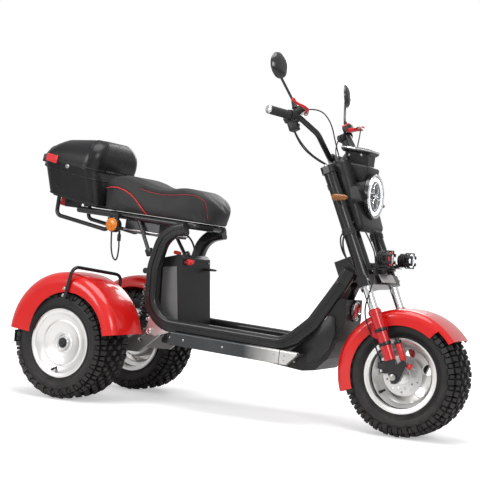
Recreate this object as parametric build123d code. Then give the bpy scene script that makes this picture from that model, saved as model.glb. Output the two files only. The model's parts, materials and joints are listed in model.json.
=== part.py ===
"""Electric tricycle: a steered front wheel and two hub-motor rear wheels on trailing arms.

Millimetres. +X is forward, +Y is the vehicle's left, +Z is up. While the pieces are drawn the
rear axle lies above X = 0 and the floor is Z = 0; save() then shifts every piece so that the
origin is the middle of the footprint, on the floor.
"""

from build123d import *
from math import atan2, cos, degrees, radians, sin, tan
import os

# ---- driving dimensions: wheels -------------------------------------------------------------
WHEELBASE = 1360
TRACK = 530
TYRE_R = 228
TYRE_W = 205
TYRE_WALL = 9
RIM_R = 140
RIM_W = 170
RIM_WALL = 5
AXLE_R = 9
DISC_R = 76
DISC_Y = 50

# ---- driving dimensions: steering and fork --------------------------------------------------
RAKE = 23
FORK_OFFSET = 36
FORK_SPACING = 290
STANCHION_R = 17
SLIDER_R = 21
SHROUD_R = 23
STEM_R = 14
HEAD_TUBE_R = 31
LOWER_CLAMP = 345
LOWER_CLAMP_H = 40
UPPER_CLAMP = 796
UPPER_CLAMP_H = 28
SLIDER_LOW = 62
SLIDER_HIGH = 252
HANDLEBAR_R = 11
HEADLAMP_R = 84
LAMP_X = 1106
LAMP_Z = 892
LAMP_DEPTH = 82
BRACKET_X = 74
SPOT_X = 130

# ---- driving dimensions: frame, seat and case -----------------------------------------------
FRAME_W = 44
FRAME_H = 54
FRAME_SPACING = 320
NECK_Y = 56
FRAME_Z = 334
HOOP_X = 308
FLOOR_TILT = 3.1
NOSE_X = 1130
HORN_R = 37
HORN_Z = 448
HORN_SUNK = 12
FLOOR_X = 440
FLOOR_LENGTH = 557
TRAY_LENGTH = 112
FLOOR_T = 6
RAIL_REAR = (-120, 788)
RAIL_FRONT = (500, 735)
SEAT_RAIL_R = 14
CROSS_TUBE_R = 11
SEAT_REAR = 2
SEAT_NOSE = 550
SEAT_WIDTH = 280
CASE_X = -148
CASE_Z = 828
CASE_LENGTH = 298
CASE_WIDTH = 350
CASE_SEAM = 150
CASE_LEAN = 52
CASE_TILT = 12
CASE_WALL = 4
RACK_PLATE = 6
BOX_LENGTH = 170
BOX_HEIGHT = 54
BOX_X = 205
BATTERY_LENGTH = 126
BATTERY_WIDTH = 228
BATTERY_HEIGHT = 316
BATTERY_LEAN = 42
PIVOT_X = 314
PIVOT_Z = 302
PIVOT_R = 12
KNEE_X = 214
KNEE_Z = 236
SHOCK_X = 222
SHOCK_TOP = 545
ARM_T = 14

# ---- clearances -----------------------------------------------------------------------------
SEAT_GAP = 0.3
RUNNING = 0.05
SKIRT_GAP = 15

# ---- places worked out from the driving dimensions ------------------------------------------
FENDER_R = TYRE_R + 42
FENDER_AHEAD = 16
FENDER_ABOVE = 20
FENDER_REAR_END = 174
FENDER_FRONT_END = 8
FENDER_HALF = TYRE_W / 2 + SKIRT_GAP
BELT = 2
BELT_H = 9
REAR_OVERHANG = ((CASE_LEAN + CASE_LENGTH / 2 + BELT) * cos(radians(CASE_TILT))
                 - (CASE_SEAM - BELT_H) * sin(radians(CASE_TILT)) - CASE_X)
CENTRE_X = (WHEELBASE + TYRE_R - REAR_OVERHANG) / 2
WHEEL_Y = TRACK / 2
LEG_Y = FORK_SPACING / 2
LOOP_Y = FRAME_SPACING / 2
RAIL_Y = LOOP_Y - FRAME_W / 2 - SEAT_RAIL_R - SEAT_GAP
BEAD_R = RIM_R - 12
WELL_R = BEAD_R - 18
ARM_Y = LOOP_Y - FRAME_W / 2 - 16
BEAM_X = HOOP_X + 58
BEAM_SLOPE = tan(radians(FLOOR_TILT))
CROSSBAR_X = HOOP_X - FRAME_H / 2 - PIVOT_R - SEAT_GAP
FLOOR_END = FLOOR_X + FLOOR_LENGTH * cos(radians(FLOOR_TILT))
RAIL_SLOPE = (RAIL_REAR[1] - RAIL_FRONT[1]) / (RAIL_FRONT[0] - RAIL_REAR[0])

# the top case's hinge, in the case's own frame
HINGE_R = 5
HINGE_X = CASE_LENGTH / 2 - CASE_LEAN + BELT + HINGE_R + 1

# the steering axis: STEER's Z runs up it, from the point beside the front axle
AXIS_X = WHEELBASE - FORK_OFFSET * cos(radians(RAKE))
AXIS_Z = TYRE_R - FORK_OFFSET * sin(radians(RAKE))
STEER = Location((AXIS_X, 0, AXIS_Z), (0, -RAKE, 0))
LEG_X = FORK_OFFSET + 6
HEAD_LOW = LOWER_CLAMP + LOWER_CLAMP_H + 5
HEAD_HIGH = UPPER_CLAMP - 5
BRACKET_Z = LOWER_CLAMP + LOWER_CLAMP_H + SEAT_GAP

# the handlebar's left half in STEER's frame: clamp, riser, bend and end
BAR_HALF = [(29, 60, 874), (56, 180, 948), (30, 238, 1015), (-28, 372, 1053)]

# the battery lead's run, from the under-seat box's front to the battery's front
BATTERY_LEAD = [(290.7, -60, 716), (352, -60, 722), (408, -62, 698), (440, -66, 652), (442, -74, 610),
                (417, -76, 592)]

# the top case's frame: its floor plate's middle, sloping down to the front
CASE = Location((CASE_X, 0, CASE_Z), (0, CASE_TILT, 0))


# ---- helpers --------------------------------------------------------------------------------
def save(name, *solids):
    """Write one node: its solids, shifted so that the origin is the footprint's middle."""
    placed = [Pos(-CENTRE_X, 0, 0) * solid for solid in solids]
    whole = placed[0] if len(placed) == 1 else Compound(placed)
    export_step(whole, f"parts/{name}.step")


def flip(part):
    """The mirror image of a piece across the vehicle's middle plane."""
    return mirror(part, Plane.XZ)


def rail_z(x):
    """Height of the seat rails' centre line above a place along the vehicle."""
    return RAIL_REAR[1] - RAIL_SLOPE * (x - RAIL_REAR[0])


def beam_z(x):
    """Height of the main beams' centre line above a place on their floor run."""
    return FRAME_Z - BEAM_SLOPE * (x - BEAM_X)


def on_floor(part):
    """Place a piece drawn on the floor plate's own top face, from its rear edge forward."""
    corner = Location((FLOOR_X, 0, beam_z(FLOOR_X)), (0, FLOOR_TILT, 0))
    return corner * Pos(0, 0, -FRAME_H / 2 - SEAT_GAP) * part


def bar(points, section, bends):
    """A bar of one section along straight runs joined by tangent arcs."""
    path = FilletPolyline(*points, radius=bends) if bends else Line(*points)
    start = Plane(origin=path @ 0, x_dir=(0, 1, 0), z_dir=path % 0)
    return sweep(start * section, path=path)


def turned(profile):
    """Revolve a (radius, offset along the axle) outline about the Y axis."""
    return revolve(make_face(Polyline(*profile, close=True)), Axis.Y)


def across(radius, length):
    """A cylinder with its axis along Y."""
    return Rot(90, 0, 0) * Cylinder(radius, length)


def ahead(radius, length):
    """A cylinder with its axis along X."""
    return Rot(0, 90, 0) * Cylinder(radius, length)


def upright(radius, low, high):
    """A cylinder along Z between two heights."""
    return Pos(0, 0, (low + high) / 2) * Cylinder(radius, high - low)


def side_plate(points, width):
    """A side outline of (X, Z) points, given a width across the vehicle's middle plane."""
    return extrude(Plane.XZ * make_face(Polyline(*points, close=True)), width / 2, both=True)


# ---- wheels ---------------------------------------------------------------------------------
def tyre():
    """A wide off-road carcass, open towards the rim, as a ring about the Y axis."""
    half = TYRE_W / 2
    foot = RIM_W / 2 - 10
    flange = (RIM_R + 2, foot + 2)
    shoulder = (TYRE_R - 18, half - 6)
    crown = TYRE_R - TYRE_WALL - 14
    outline = [
        Polyline((BEAD_R, foot - TYRE_WALL), (BEAD_R, foot), flange),
        Spline(flange, (BEAD_R + 48, half), shoulder),
        Spline(shoulder, (TYRE_R - 4, half - 26), (TYRE_R, 0), tangents=[(0.8, -0.6), (0, -1)]),
        Line((TYRE_R, 0), (crown, 0)),
        Spline((crown, 0), (crown - 14, half - 26), (BEAD_R + 44, half - TYRE_WALL - 2),
               (RIM_R + 6, foot - TYRE_WALL + 4)),
        Line((RIM_R + 6, foot - TYRE_WALL + 4), (BEAD_R, foot - TYRE_WALL)),
    ]
    ring = revolve(make_face(outline), Axis.Y)
    return ring + flip(ring)


def rim_barrel():
    """A drop-centre rim with both flanges, as a ring about the Y axis."""
    edge = RIM_W / 2
    seat = BEAD_R - SEAT_GAP
    outside = [(RIM_R, edge), (RIM_R, edge - 5), (seat, edge - 9), (seat, 52), (WELL_R, 40)]
    inside = [(WELL_R - RIM_WALL, 37), (seat - RIM_WALL, 49), (seat - RIM_WALL, edge - 3), (RIM_R - 6, edge)]
    outer = outside + [(r, -y) for r, y in reversed(outside)]
    inner = [(r, -y) for r, y in reversed(inside)] + inside
    return turned(outer + inner)


def rear_rim():
    """Left hub-motor wheel: barrel, softly dished outer face and the motor drum inboard."""
    bore = AXLE_R + RUNNING
    face = Spline((30, 50), (58, 44), (84, 50), (100, 44), (WELL_R - 2, 34))
    rest = Polyline((WELL_R - 2, 34), (WELL_R - 2, 26), (96, 34), (78, 30), (78, -50), (70, -60), (34, -64),
                    (34, -70), (bore, -70), (bore, 38), (24, 38), (26, 50), (30, 50))
    return rim_barrel() + revolve(make_face([face, rest]), Axis.Y)


def front_rim():
    """Cast front wheel: barrel, a dished face with five round windows, and the bearing hub."""
    bore = AXLE_R + RUNNING
    face = turned([(bore, -58), (30, -58), (30, 2), (46, 12), (70, 16), (WELL_R, 26), (WELL_R, 36), (72, 28),
                   (48, 26), (36, 46), (bore, 46)])
    windows = [Rot(90, 0, 0) * spot * Cylinder(20, RIM_W) for spot in PolarLocations(76, 5, start_angle=18)]
    return rim_barrel() + (face - windows)


def brake_disc():
    """Drilled disc clamped round the front hub's right end."""
    ring = Cylinder(DISC_R, 4) - Cylinder(30, 4)
    for radius, first in ((48, 0), (62, 18)):
        ring -= [spot * Cylinder(4, 4) for spot in PolarLocations(radius, 10, start_angle=first)]
    return Pos(0, -DISC_Y, 0) * Rot(90, 0, 0) * ring


# ---- rear suspension and mudguards ----------------------------------------------------------
def trailing_arm():
    """Left trailing arm: a cranked alloy plate with two eyes, and the stub axle it carries."""
    crank = degrees(atan2(PIVOT_Z - KNEE_Z, PIVOT_X - KNEE_X))
    blade = side_plate([(0, TYRE_R - 26), (KNEE_X + 26, KNEE_Z - 28), (PIVOT_X + 16, PIVOT_Z - 22),
                        (PIVOT_X - 16, PIVOT_Z + 22), (KNEE_X - 22, KNEE_Z + 26), (0, TYRE_R + 26)], ARM_T)
    blade += Pos(0, 0, TYRE_R) * across(30, ARM_T) + Pos(PIVOT_X, 0, PIVOT_Z) * across(27, ARM_T)
    slot = extrude(Plane.XZ * SlotOverall(86, 20), ARM_T, both=True)
    blade -= Pos(102, 0, TYRE_R + 2) * slot
    slot = extrude(Plane.XZ * SlotOverall(58, 20), ARM_T, both=True)
    blade -= Pos((KNEE_X + PIVOT_X) / 2 - 4, 0, (KNEE_Z + PIVOT_Z) / 2) * Rot(0, -crank, 0) * slot
    blade = Pos(0, ARM_Y, 0) * blade - Pos(PIVOT_X, ARM_Y, PIVOT_Z) * across(PIVOT_R + SEAT_GAP, ARM_T)
    tip = WHEEL_Y + 44
    stub = Pos(0, (ARM_Y + tip) / 2, TYRE_R) * across(AXLE_R, tip - ARM_Y)
    collar = Pos(0, (ARM_Y + WHEEL_Y - 75) / 2, TYRE_R) * across(17, WHEEL_Y - 75 - ARM_Y)
    return blade + stub + collar


def arm_pivot():
    """Cross tube behind the battery tray that both trailing arms hang on, with its side plates."""
    tube = Pos(PIVOT_X, 0, PIVOT_Z) * across(PIVOT_R, FRAME_SPACING + 14)
    lug = side_plate([(PIVOT_X - 22, PIVOT_Z - 16), (PIVOT_X + 26, PIVOT_Z - 18), (BEAM_X + 38, FRAME_Z - 31.5),
                      (BEAM_X - 6, FRAME_Z - 16.5), (BEAM_X - 36, FRAME_Z + 4), (BEAM_X - 62, FRAME_Z + 28)], 8)
    lug = Pos(0, LOOP_Y, 0) * lug
    bolt = Pos(PIVOT_X, LOOP_Y + 9, PIVOT_Z) * across(9, 10)
    side = lug + bolt
    return tube + side + flip(side)


def shock_crossbar():
    """Tube across the backs of both hoops that carries the spring units' upper eyes."""
    return Pos(CROSSBAR_X, 0, SHOCK_TOP) * across(PIVOT_R, FRAME_SPACING + 8)


def shock():
    """Left spring unit, from the trailing arm's inner face up to the cross tube."""
    eye = 20
    y = ARM_Y - ARM_T / 2 - eye / 2 - SEAT_GAP
    foot = Vector(SHOCK_X, y, KNEE_Z + 12)
    head = Vector(CROSSBAR_X, y, SHOCK_TOP)
    length = (head - foot).length
    coils, pitch, low = 7, 20, 92
    wave = [(9, low)]
    for coil in range(coils):
        wave += [(23, low + pitch * (coil + 0.5)), (17, low + pitch * (coil + 1))]
    top = low + pitch * coils
    wave += [(24, top), (24, top + 16), (12, top + 22), (8, length), (0, length), (0, 0), (8, 0), (9, 58),
             (20, 64), (20, low - 8), (26, low - 8), (26, low)]
    body = revolve(Plane.XZ * make_face(Polyline(*wave, close=True)), Axis.Z)
    unit = Plane(origin=foot, z_dir=head - foot) * body
    unit += Pos(*foot) * across(14, eye) + Pos(*head) * across(19, eye)
    return unit - Pos(*head) * across(PIVOT_R + SEAT_GAP, eye)


def domed_strip(radius, half, lip_outer, lip_inner, wall, drop, sweep_angle):
    """A mudguard's shell: a crowned top with two side skirts, bent about the Y axis."""
    turn_in = half - drop
    outer = [
        Line((lip_outer, half), (radius - drop, half)),
        ThreePointArc((radius - drop, half), (radius - drop * 0.29, half - drop * 0.29), (radius, turn_in)),
        ThreePointArc((radius, turn_in), (radius + 3, 0), (radius, -turn_in)),
        ThreePointArc((radius, -turn_in), (radius - drop * 0.29, -half + drop * 0.29), (radius - drop, -half)),
        Line((radius - drop, -half), (lip_inner, -half)),
        Line((lip_inner, -half), (lip_inner, -half + wall)),
    ]
    inner = [
        Line((lip_inner, -half + wall), (radius - drop, -half + wall)),
        ThreePointArc((radius - drop, -half + wall), (radius - drop * 0.29 - wall, -half + drop * 0.29 + wall),
                      (radius - wall, -turn_in)),
        ThreePointArc((radius - wall, -turn_in), (radius + 3 - wall, 0), (radius - wall, turn_in)),
        ThreePointArc((radius - wall, turn_in), (radius - drop * 0.29 - wall, half - drop * 0.29 - wall),
                      (radius - drop, half - wall)),
        Line((radius - drop, half - wall), (lip_outer, half - wall)),
        Line((lip_outer, half - wall), (lip_outer, half)),
    ]
    return revolve(make_face(outer + inner), Axis.Y, sweep_angle)


def rear_fender():
    """Left rear mudguard, its outer skirt cut by the arched wheel opening."""
    strip = domed_strip(FENDER_R, FENDER_HALF, 90, TYRE_R - 10, 3, 46, FENDER_REAR_END - FENDER_FRONT_END)
    strip = Rot(0, -FENDER_REAR_END, 0) * strip
    strip = Pos(FENDER_AHEAD, 0, FENDER_ABOVE) * strip
    arch = 183
    opening = Pos(48, FENDER_HALF, 27) * across(arch, 20)
    opening += Pos(48, FENDER_HALF, -73) * Box(2 * arch, 20, 200)
    return Pos(0, WHEEL_Y, TYRE_R) * (strip - opening)


def fender_hoop():
    """Left hoop: a bent tube over the mudguard, from its outer skirt to the trailing arm."""
    radius = 7
    out = WHEEL_Y + FENDER_HALF + radius + SEAT_GAP
    top = TYRE_R + FENDER_ABOVE + FENDER_R + 24
    inside = ARM_Y + ARM_T / 2 + radius + SEAT_GAP
    points = [(40, out, top - 132), (72, out, top), (134, inside, top - 24), (106, inside, KNEE_Z + 16)]
    return bar(points, Circle(radius), [30, 30])


# ---- frame ----------------------------------------------------------------------------------
def frame_loop():
    """Left main beam: back hoop below the seat, floor run and sweep up to the steering head."""
    y = LOOP_Y
    drop = FRAME_H / 2 - SEAT_RAIL_R
    points = [(448, y, rail_z(448) - drop), (HOOP_X + 44, y, 706), (HOOP_X, y, 560), (HOOP_X, y, 410),
              (BEAM_X, y, FRAME_Z), (925, y, beam_z(925)), (1012, y - 46, 392), (1095, NECK_Y, 545),
              (1127, NECK_Y, 603)]
    section = fillet(Rectangle(FRAME_W, FRAME_H).vertices(), 14)
    section -= Pos(FRAME_W / 2, 2) * Rectangle(7, 5)
    beam = bar(points, section, [110, 150, 100, 110, 90, 70, 60])
    return beam - Pos(1110, 0, 560) * Box(260, 2 * NECK_Y - FRAME_W, 320)


def head_tube():
    """Steering head: a bored tube on the steering axis, and the block between the beams."""
    width = 2 * (NECK_Y - FRAME_W / 2 - SEAT_GAP)
    block = Pos(-52, 0, HEAD_LOW + 54) * Box(84, width, 96)
    shell = block + upright(HEAD_TUBE_R, HEAD_LOW, HEAD_HIGH)
    shell += upright(HEAD_TUBE_R + 5, HEAD_LOW, HEAD_LOW + 20) + upright(HEAD_TUBE_R + 5, HEAD_HIGH - 20, HEAD_HIGH)
    shell -= upright(STEM_R + RUNNING, HEAD_LOW, HEAD_HIGH)
    return STEER * (shell - upright(STEM_R + 4, HEAD_LOW + 24, HEAD_HIGH - 24))


def seat_rails():
    """Seat frame: two rails, three cross tubes and a strut down to each beam's back hoop."""
    rear, front = Vector(RAIL_REAR[0], 0, RAIL_REAR[1]), Vector(RAIL_FRONT[0], 0, RAIL_FRONT[1])
    bow = RAIL_FRONT[0] - 54
    rail = bar([(rear.X, RAIL_Y, rear.Z), (bow, RAIL_Y, rail_z(bow)), (front.X, 40, front.Z)],
               Circle(SEAT_RAIL_R), [60])
    hoop_rear = HOOP_X - FRAME_H / 2
    rail += bar([(190, RAIL_Y, rail_z(190)), (hoop_rear - 12, LOOP_Y - 14, 622)], Circle(8), [])
    frame = rail + flip(rail)
    for share in (0.04, 0.52):
        frame += Pos(*(rear + (front - rear) * share)) * across(CROSS_TUBE_R, 2 * RAIL_Y)
    return frame + Pos(front.X - 6, 0, front.Z) * across(CROSS_TUBE_R, 90)


def footboard():
    """Ribbed floor plate under the beams' floor run, with a tray behind for the battery."""
    plate = Pos(FLOOR_LENGTH / 2, 0, 0) * Box(FLOOR_LENGTH, FRAME_SPACING + 50, FLOOR_T)
    plate += Pos(-TRAY_LENGTH / 2, 0, 0) * Box(TRAY_LENGTH, BATTERY_WIDTH - 20, FLOOR_T)
    for row in range(-3, 4):
        plate += Pos(FLOOR_LENGTH / 2, row * 34, FLOOR_T / 2 + 1.5) * Box(FLOOR_LENGTH - 80, 10, 3)
    return on_floor(Pos(0, 0, -FLOOR_T / 2) * plate)


def side_rail():
    """Left floor rail: a hollow extrusion along the floor's edge, its front end cut on a slope."""
    tall, wide = 54, 24
    section = fillet(Rectangle(wide, tall).vertices(), 6) - fillet(Rectangle(wide - 6, tall - 6).vertices(), 4)
    rail = extrude(Plane.YZ * section, FLOOR_LENGTH)
    rail -= Pos(FLOOR_LENGTH, 0, -tall / 2) * Rot(0, -45, 0) * Box(60, 60, 60)
    edge = (FRAME_SPACING + 50) / 2
    return on_floor(Pos(0, edge + wide / 2 + SEAT_GAP, 9 - tall / 2) * rail)


def belly_cover():
    """Moulded cover below the floor, rising in front of the beams, with a vent on each side."""
    under = FRAME_H / 2 + FLOOR_T + 4 * SEAT_GAP
    side = side_plate([(620, beam_z(620) - under), (FLOOR_END, beam_z(FLOOR_END) - under), (1040, 378),
                       (1101, 490), (NOSE_X, 490), (NOSE_X, 410), (1106, 330), (1076, 262), (1028, 214),
                       (980, 208), (880, 220), (620, 250)], 260)
    plan = extrude(Polygon((620, -118), (960, -118), (1060, -104), (1140, -78), (1140, 78), (1060, 104),
                           (960, 118), (620, 118), align=None), 600)
    cover = side & plan
    for y in (-1, 1):
        vent = Pos(1088, y * 106, 372) * Rot(0, 0, -y * 16) * Rot(0, 62, 0) * Box(74, 24, 46)
        cover -= vent
    return cover - Pos(NOSE_X, 0, HORN_Z) * ahead(HORN_R + 5, 2 * HORN_SUNK)


def horn():
    """Round horn on the cover's nose: a shallow trumpet in a rolled rim."""
    back = NOSE_X - HORN_SUNK + SEAT_GAP
    rim = HORN_R
    profile = Polyline((0, 0), (rim - 18, 0), (rim - 10, 8), (rim - 3, 12), (rim, 16), (rim, 24), (rim - 4, 26),
                       (rim - 7, 20), (12, 15), (0, 15), close=True)
    body = revolve(Plane.XZ * make_face(profile), Axis.Z)
    return Pos(back, 0, HORN_Z) * Rot(0, 90, 0) * body


# ---- seat, battery and luggage --------------------------------------------------------------
def seat():
    """Two-place saddle: a closed cushion with a raised rear place and a rounded nose."""
    rest = SEAT_RAIL_R + 2 * SEAT_GAP
    low_rear, low_front = (SEAT_REAR, rail_z(SEAT_REAR) + rest), (SEAT_NOSE - 6, rail_z(SEAT_NOSE - 6) + rest)
    side = [
        Line(low_front, low_rear),
        Line(low_rear, (SEAT_REAR, 880)),
        Spline((SEAT_REAR, 880), (34, 926), (102, 937), (180, 919), (258, 894), (333, 886), (407, 888), (470, 874),
               (524, 844), (SEAT_NOSE, 796), low_front),
    ]
    body = extrude(Plane.XZ * make_face(side), SEAT_WIDTH / 2, both=True)
    straight = 400 - SEAT_REAR
    rear = Pos(SEAT_REAR + straight / 2, 0, 0) * Rectangle(straight, SEAT_WIDTH)
    rear = fillet(rear.vertices().group_by(Axis.X)[0], 44)
    nose = Pos(400, 0, 0) * Ellipse(SEAT_NOSE - 400, SEAT_WIDTH / 2)
    return body & extrude(Plane.XY.offset(700) * (rear + nose), 300)


def battery_case():
    """Battery between the hoops, leaning back: sloped shoulders, side panels and a lifting loop."""
    length, lean, low, high = BATTERY_LENGTH, BATTERY_LEAN, SEAT_GAP, BATTERY_HEIGHT
    block = side_plate([(14 - length, low), (0, low), (-lean, high - 14), (-lean - 16, high),
                        (-length - lean * 0.4, high - 24), (-length - 4, 70)], BATTERY_WIDTH)
    panel = side_plate([(-length + 10, 26), (-26, 26), (-lean - 22, high - 50), (-length - lean * 0.3 + 10, high - 60)],
                       BATTERY_WIDTH + 3)
    grip_z = high - 54
    loop = [(-lean, 62, grip_z), (2, 62, grip_z), (2, 104, grip_z), (-lean, 104, grip_z)]
    return on_floor(block + panel + bar(loop, Circle(4.5), [12, 12]))


def under_seat_box():
    """Controller housing hung below the seat frame's rails."""
    tilt = degrees(atan2(RAIL_SLOPE, 1))
    middle = rail_z(BOX_X) - CROSS_TUBE_R - 2 * SEAT_GAP - BOX_HEIGHT / 2
    block = Box(BOX_LENGTH, 2 * RAIL_Y - 20, BOX_HEIGHT)
    block = fillet(block.edges().filter_by(Axis.Y), 6)
    return Pos(BOX_X, 0, middle) * Rot(0, tilt, 0) * block


def corner_radii(points):
    """The bend radius of each corner of a lead, from its shorter run and its turn."""
    radii = []
    for before, corner, after in zip(points, points[1:], points[2:]):
        first = Vector(*corner) - Vector(*before)
        second = Vector(*after) - Vector(*corner)
        turn = radians(first.get_angle(second))
        radii.append(0.45 * min(first.length, second.length) / tan(turn / 2))
    return radii


def battery_lead():
    """Lead from below the seat to the battery's front, held at both ends."""
    radii = corner_radii(BATTERY_LEAD)
    print("battery lead bend radii", [round(radius, 1) for radius in radii])
    return bar(BATTERY_LEAD, Circle(4), radii)


def case_rack():
    """Carrier: a plate under the top case, spacers to the seat rails and two grab tubes."""
    plate = Box(CASE_LENGTH - 50, CASE_WIDTH - 90, RACK_PLATE)
    plate = CASE * Pos(0, 0, -RACK_PLATE / 2 - SEAT_GAP) * fillet(plate.edges().filter_by(Axis.Z), 20)
    foot = rail_z(-90) + SEAT_RAIL_R + 1
    spacer = Pos(-90, RAIL_Y - 8, 0) * upright(9, foot, foot + 10)
    under = rail_z(40) - SEAT_RAIL_R - 1
    grab = bar([(-236, RAIL_Y - 8, 840), (-244, RAIL_Y - 8, 760), (40, RAIL_Y - 8, 702), (40, RAIL_Y - 8, under)],
               Circle(9), [26, 24])
    side = spacer + grab
    return plate + side + flip(side)


def case_section(length, width, corner, back):
    """A rounded rectangle of the top case at one height, set back from the case frame's origin."""
    return Pos(-back, 0, 0) * fillet(Rectangle(length, width).vertices(), corner)


def shell_between(sections, open_low):
    """A thin shell lofted through (plane, section) pairs, open at one end."""
    outer = loft([plane * section for plane, section in sections])
    inside = []
    for index, (plane, section) in enumerate(sections):
        closed = index == (len(sections) - 1 if open_low else 0)
        lift = CASE_WALL * (-1 if open_low else 1) if closed else 0
        inside.append(plane.offset(lift) * offset(section, -CASE_WALL))
    return outer - loft(inside)


def case_belt():
    """The raised band that runs round the case beside its seam."""
    section = case_section(CASE_LENGTH, CASE_WIDTH, 60, CASE_LEAN)
    return extrude(offset(section, BELT) - offset(section, -CASE_WALL + 1), BELT_H)


def hinge_knuckle(y):
    """One barrel of the case's front hinge, with the leaf that joins it to the belt."""
    front = CASE_LENGTH / 2 - CASE_LEAN
    barrel = Pos(HINGE_X, y, CASE_SEAM + SEAT_GAP / 2) * across(HINGE_R, 30)
    return barrel, Pos((front + HINGE_X) / 2, y, 0) * Box(HINGE_X - front, 30, 4)


def case_base():
    """Top case, lower half: a tapered open tub with a raised belt below the seam."""
    tub = shell_between([(Plane.XY, case_section(CASE_LENGTH - 20, CASE_WIDTH - 50, 48, 0)),
                         (Plane.XY.offset(CASE_SEAM), case_section(CASE_LENGTH, CASE_WIDTH, 60, CASE_LEAN))], False)
    tub += Pos(0, 0, CASE_SEAM - BELT_H) * case_belt()
    for y in (-80, 80):
        barrel, leaf = hinge_knuckle(y)
        tub += barrel + Pos(0, 0, CASE_SEAM - 3) * leaf
        tub -= Pos(HINGE_X, y + 32, CASE_SEAM) * across(HINGE_R + 1, 32)
    return CASE * tub


def case_lid():
    """Top case, upper half: a domed shell hinged at its front edge, its top level."""
    top_x = -CASE_LEAN + 12
    dome = shell_between([
        (Plane.XY, case_section(CASE_LENGTH, CASE_WIDTH, 60, CASE_LEAN)),
        (Plane(Location((top_x, 0, 66), (0, -CASE_TILT * 0.7, 0))), case_section(CASE_LENGTH - 18, CASE_WIDTH - 24, 64, 0)),
        (Plane(Location((top_x + 4, 0, 108), (0, -CASE_TILT, 0))), case_section(CASE_LENGTH - 96, CASE_WIDTH - 110, 56, 0)),
    ], True)
    lid = Pos(0, 0, CASE_SEAM + SEAT_GAP) * (dome + case_belt())
    for y in (-80, 80):
        barrel, leaf = hinge_knuckle(y + 31)
        lid += barrel + Pos(0, 0, CASE_SEAM + 3 + SEAT_GAP) * leaf
        lid -= Pos(HINGE_X, y, CASE_SEAM) * across(HINGE_R + 1, 31)
    return CASE * lid


def tail_light():
    """Lamp under the rack's rear edge."""
    lamp = fillet(Box(28, 120, 40).edges().filter_by(Axis.X), 8)
    return CASE * Pos(-104, 0, -RACK_PLATE - 2 * SEAT_GAP - 20) * lamp


def rear_signal():
    """Left rear turn signal: a round lens and cup on a bracket beside the seat rail."""
    inner = RAIL_Y + SEAT_RAIL_R + SEAT_GAP
    z = rail_z(104)
    stub = Pos(104, inner + 11, z) * across(8, 22)
    arm = Pos(104, inner + 16, z - 22) * Box(16, 12, 50)
    cup = turned([(0, 0), (20, 0), (30, 12), (30, 34), (27, 40), (14, 44), (0, 44)])
    return stub + arm + Pos(104, inner + 10, z - 44) * cup


# ---- fork and front wheel's carriers, in the steering axis's own frame ------------------------
def yoke(z, height, nose):
    """A clamp plate, swept forward from the stem to its bores for both stanchions."""
    end = LEG_Y + 28
    left = [(nose, 60), (LEG_X + 25, end), (LEG_X - 25, end), (10, 66), (-26, 32)]
    right = [(x, -y) for x, y in reversed(left)]
    outline = make_face(Polyline(*left, *right, close=True))
    plate = extrude(Plane.XY.offset(z) * outline, height)
    plate = fillet(plate.edges().filter_by(Axis.Z), 14)
    for y in (-LEG_Y, LEG_Y):
        plate -= Pos(LEG_X, y, 0) * upright(STANCHION_R + SEAT_GAP, z, z + height)
    return plate


def upper_clamp():
    """Top yoke, bored for the stem's end, with the two posts that clamp the handlebar."""
    top = UPPER_CLAMP + UPPER_CLAMP_H
    plate = yoke(UPPER_CLAMP, UPPER_CLAMP_H, LEG_X + 20)
    bar_x, _, bar_z = BAR_HALF[0]
    for y in (-34, 34):
        post = Pos(bar_x, y, (top + bar_z + HANDLEBAR_R + 6) / 2) * Box(32, 26, bar_z + HANDLEBAR_R + 10 - top)
        plate += fillet(post.edges().filter_by(Axis.Y), 8)
    plate -= Pos(bar_x, 0, bar_z) * across(HANDLEBAR_R + SEAT_GAP, 200)
    return STEER * (plate - upright(STEM_R + SEAT_GAP, UPPER_CLAMP, top))


def lower_clamp():
    """Bottom yoke, with the stem that turns in the steering head."""
    stem = upright(STEM_R, LOWER_CLAMP, UPPER_CLAMP + UPPER_CLAMP_H + 8)
    return STEER * (yoke(LOWER_CLAMP, LOWER_CLAMP_H, LEG_X + 26) + stem)


def stanchion():
    """Left polished leg, from inside the slider up through both yokes."""
    return STEER * Pos(LEG_X, LEG_Y, 0) * upright(STANCHION_R, SLIDER_LOW + 60, UPPER_CLAMP + UPPER_CLAMP_H + 6)


def shroud():
    """Left leg's tube cover between the yokes."""
    low, high = LOWER_CLAMP + LOWER_CLAMP_H + SEAT_GAP, UPPER_CLAMP - SEAT_GAP
    return STEER * Pos(LEG_X, LEG_Y, 0) * (upright(SHROUD_R, low, high) - upright(STANCHION_R + SEAT_GAP, low, high))


def slider():
    """Left lower leg, bored for the stanchion, with its seal collar and the clamp bands."""
    body = upright(SLIDER_R, SLIDER_LOW, SLIDER_HIGH) + upright(SLIDER_R + 3, SLIDER_HIGH - 14, SLIDER_HIGH)
    body -= upright(STANCHION_R + RUNNING, SLIDER_LOW + 58, SLIDER_HIGH)
    return STEER * Pos(LEG_X, LEG_Y, 0) * body


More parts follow.
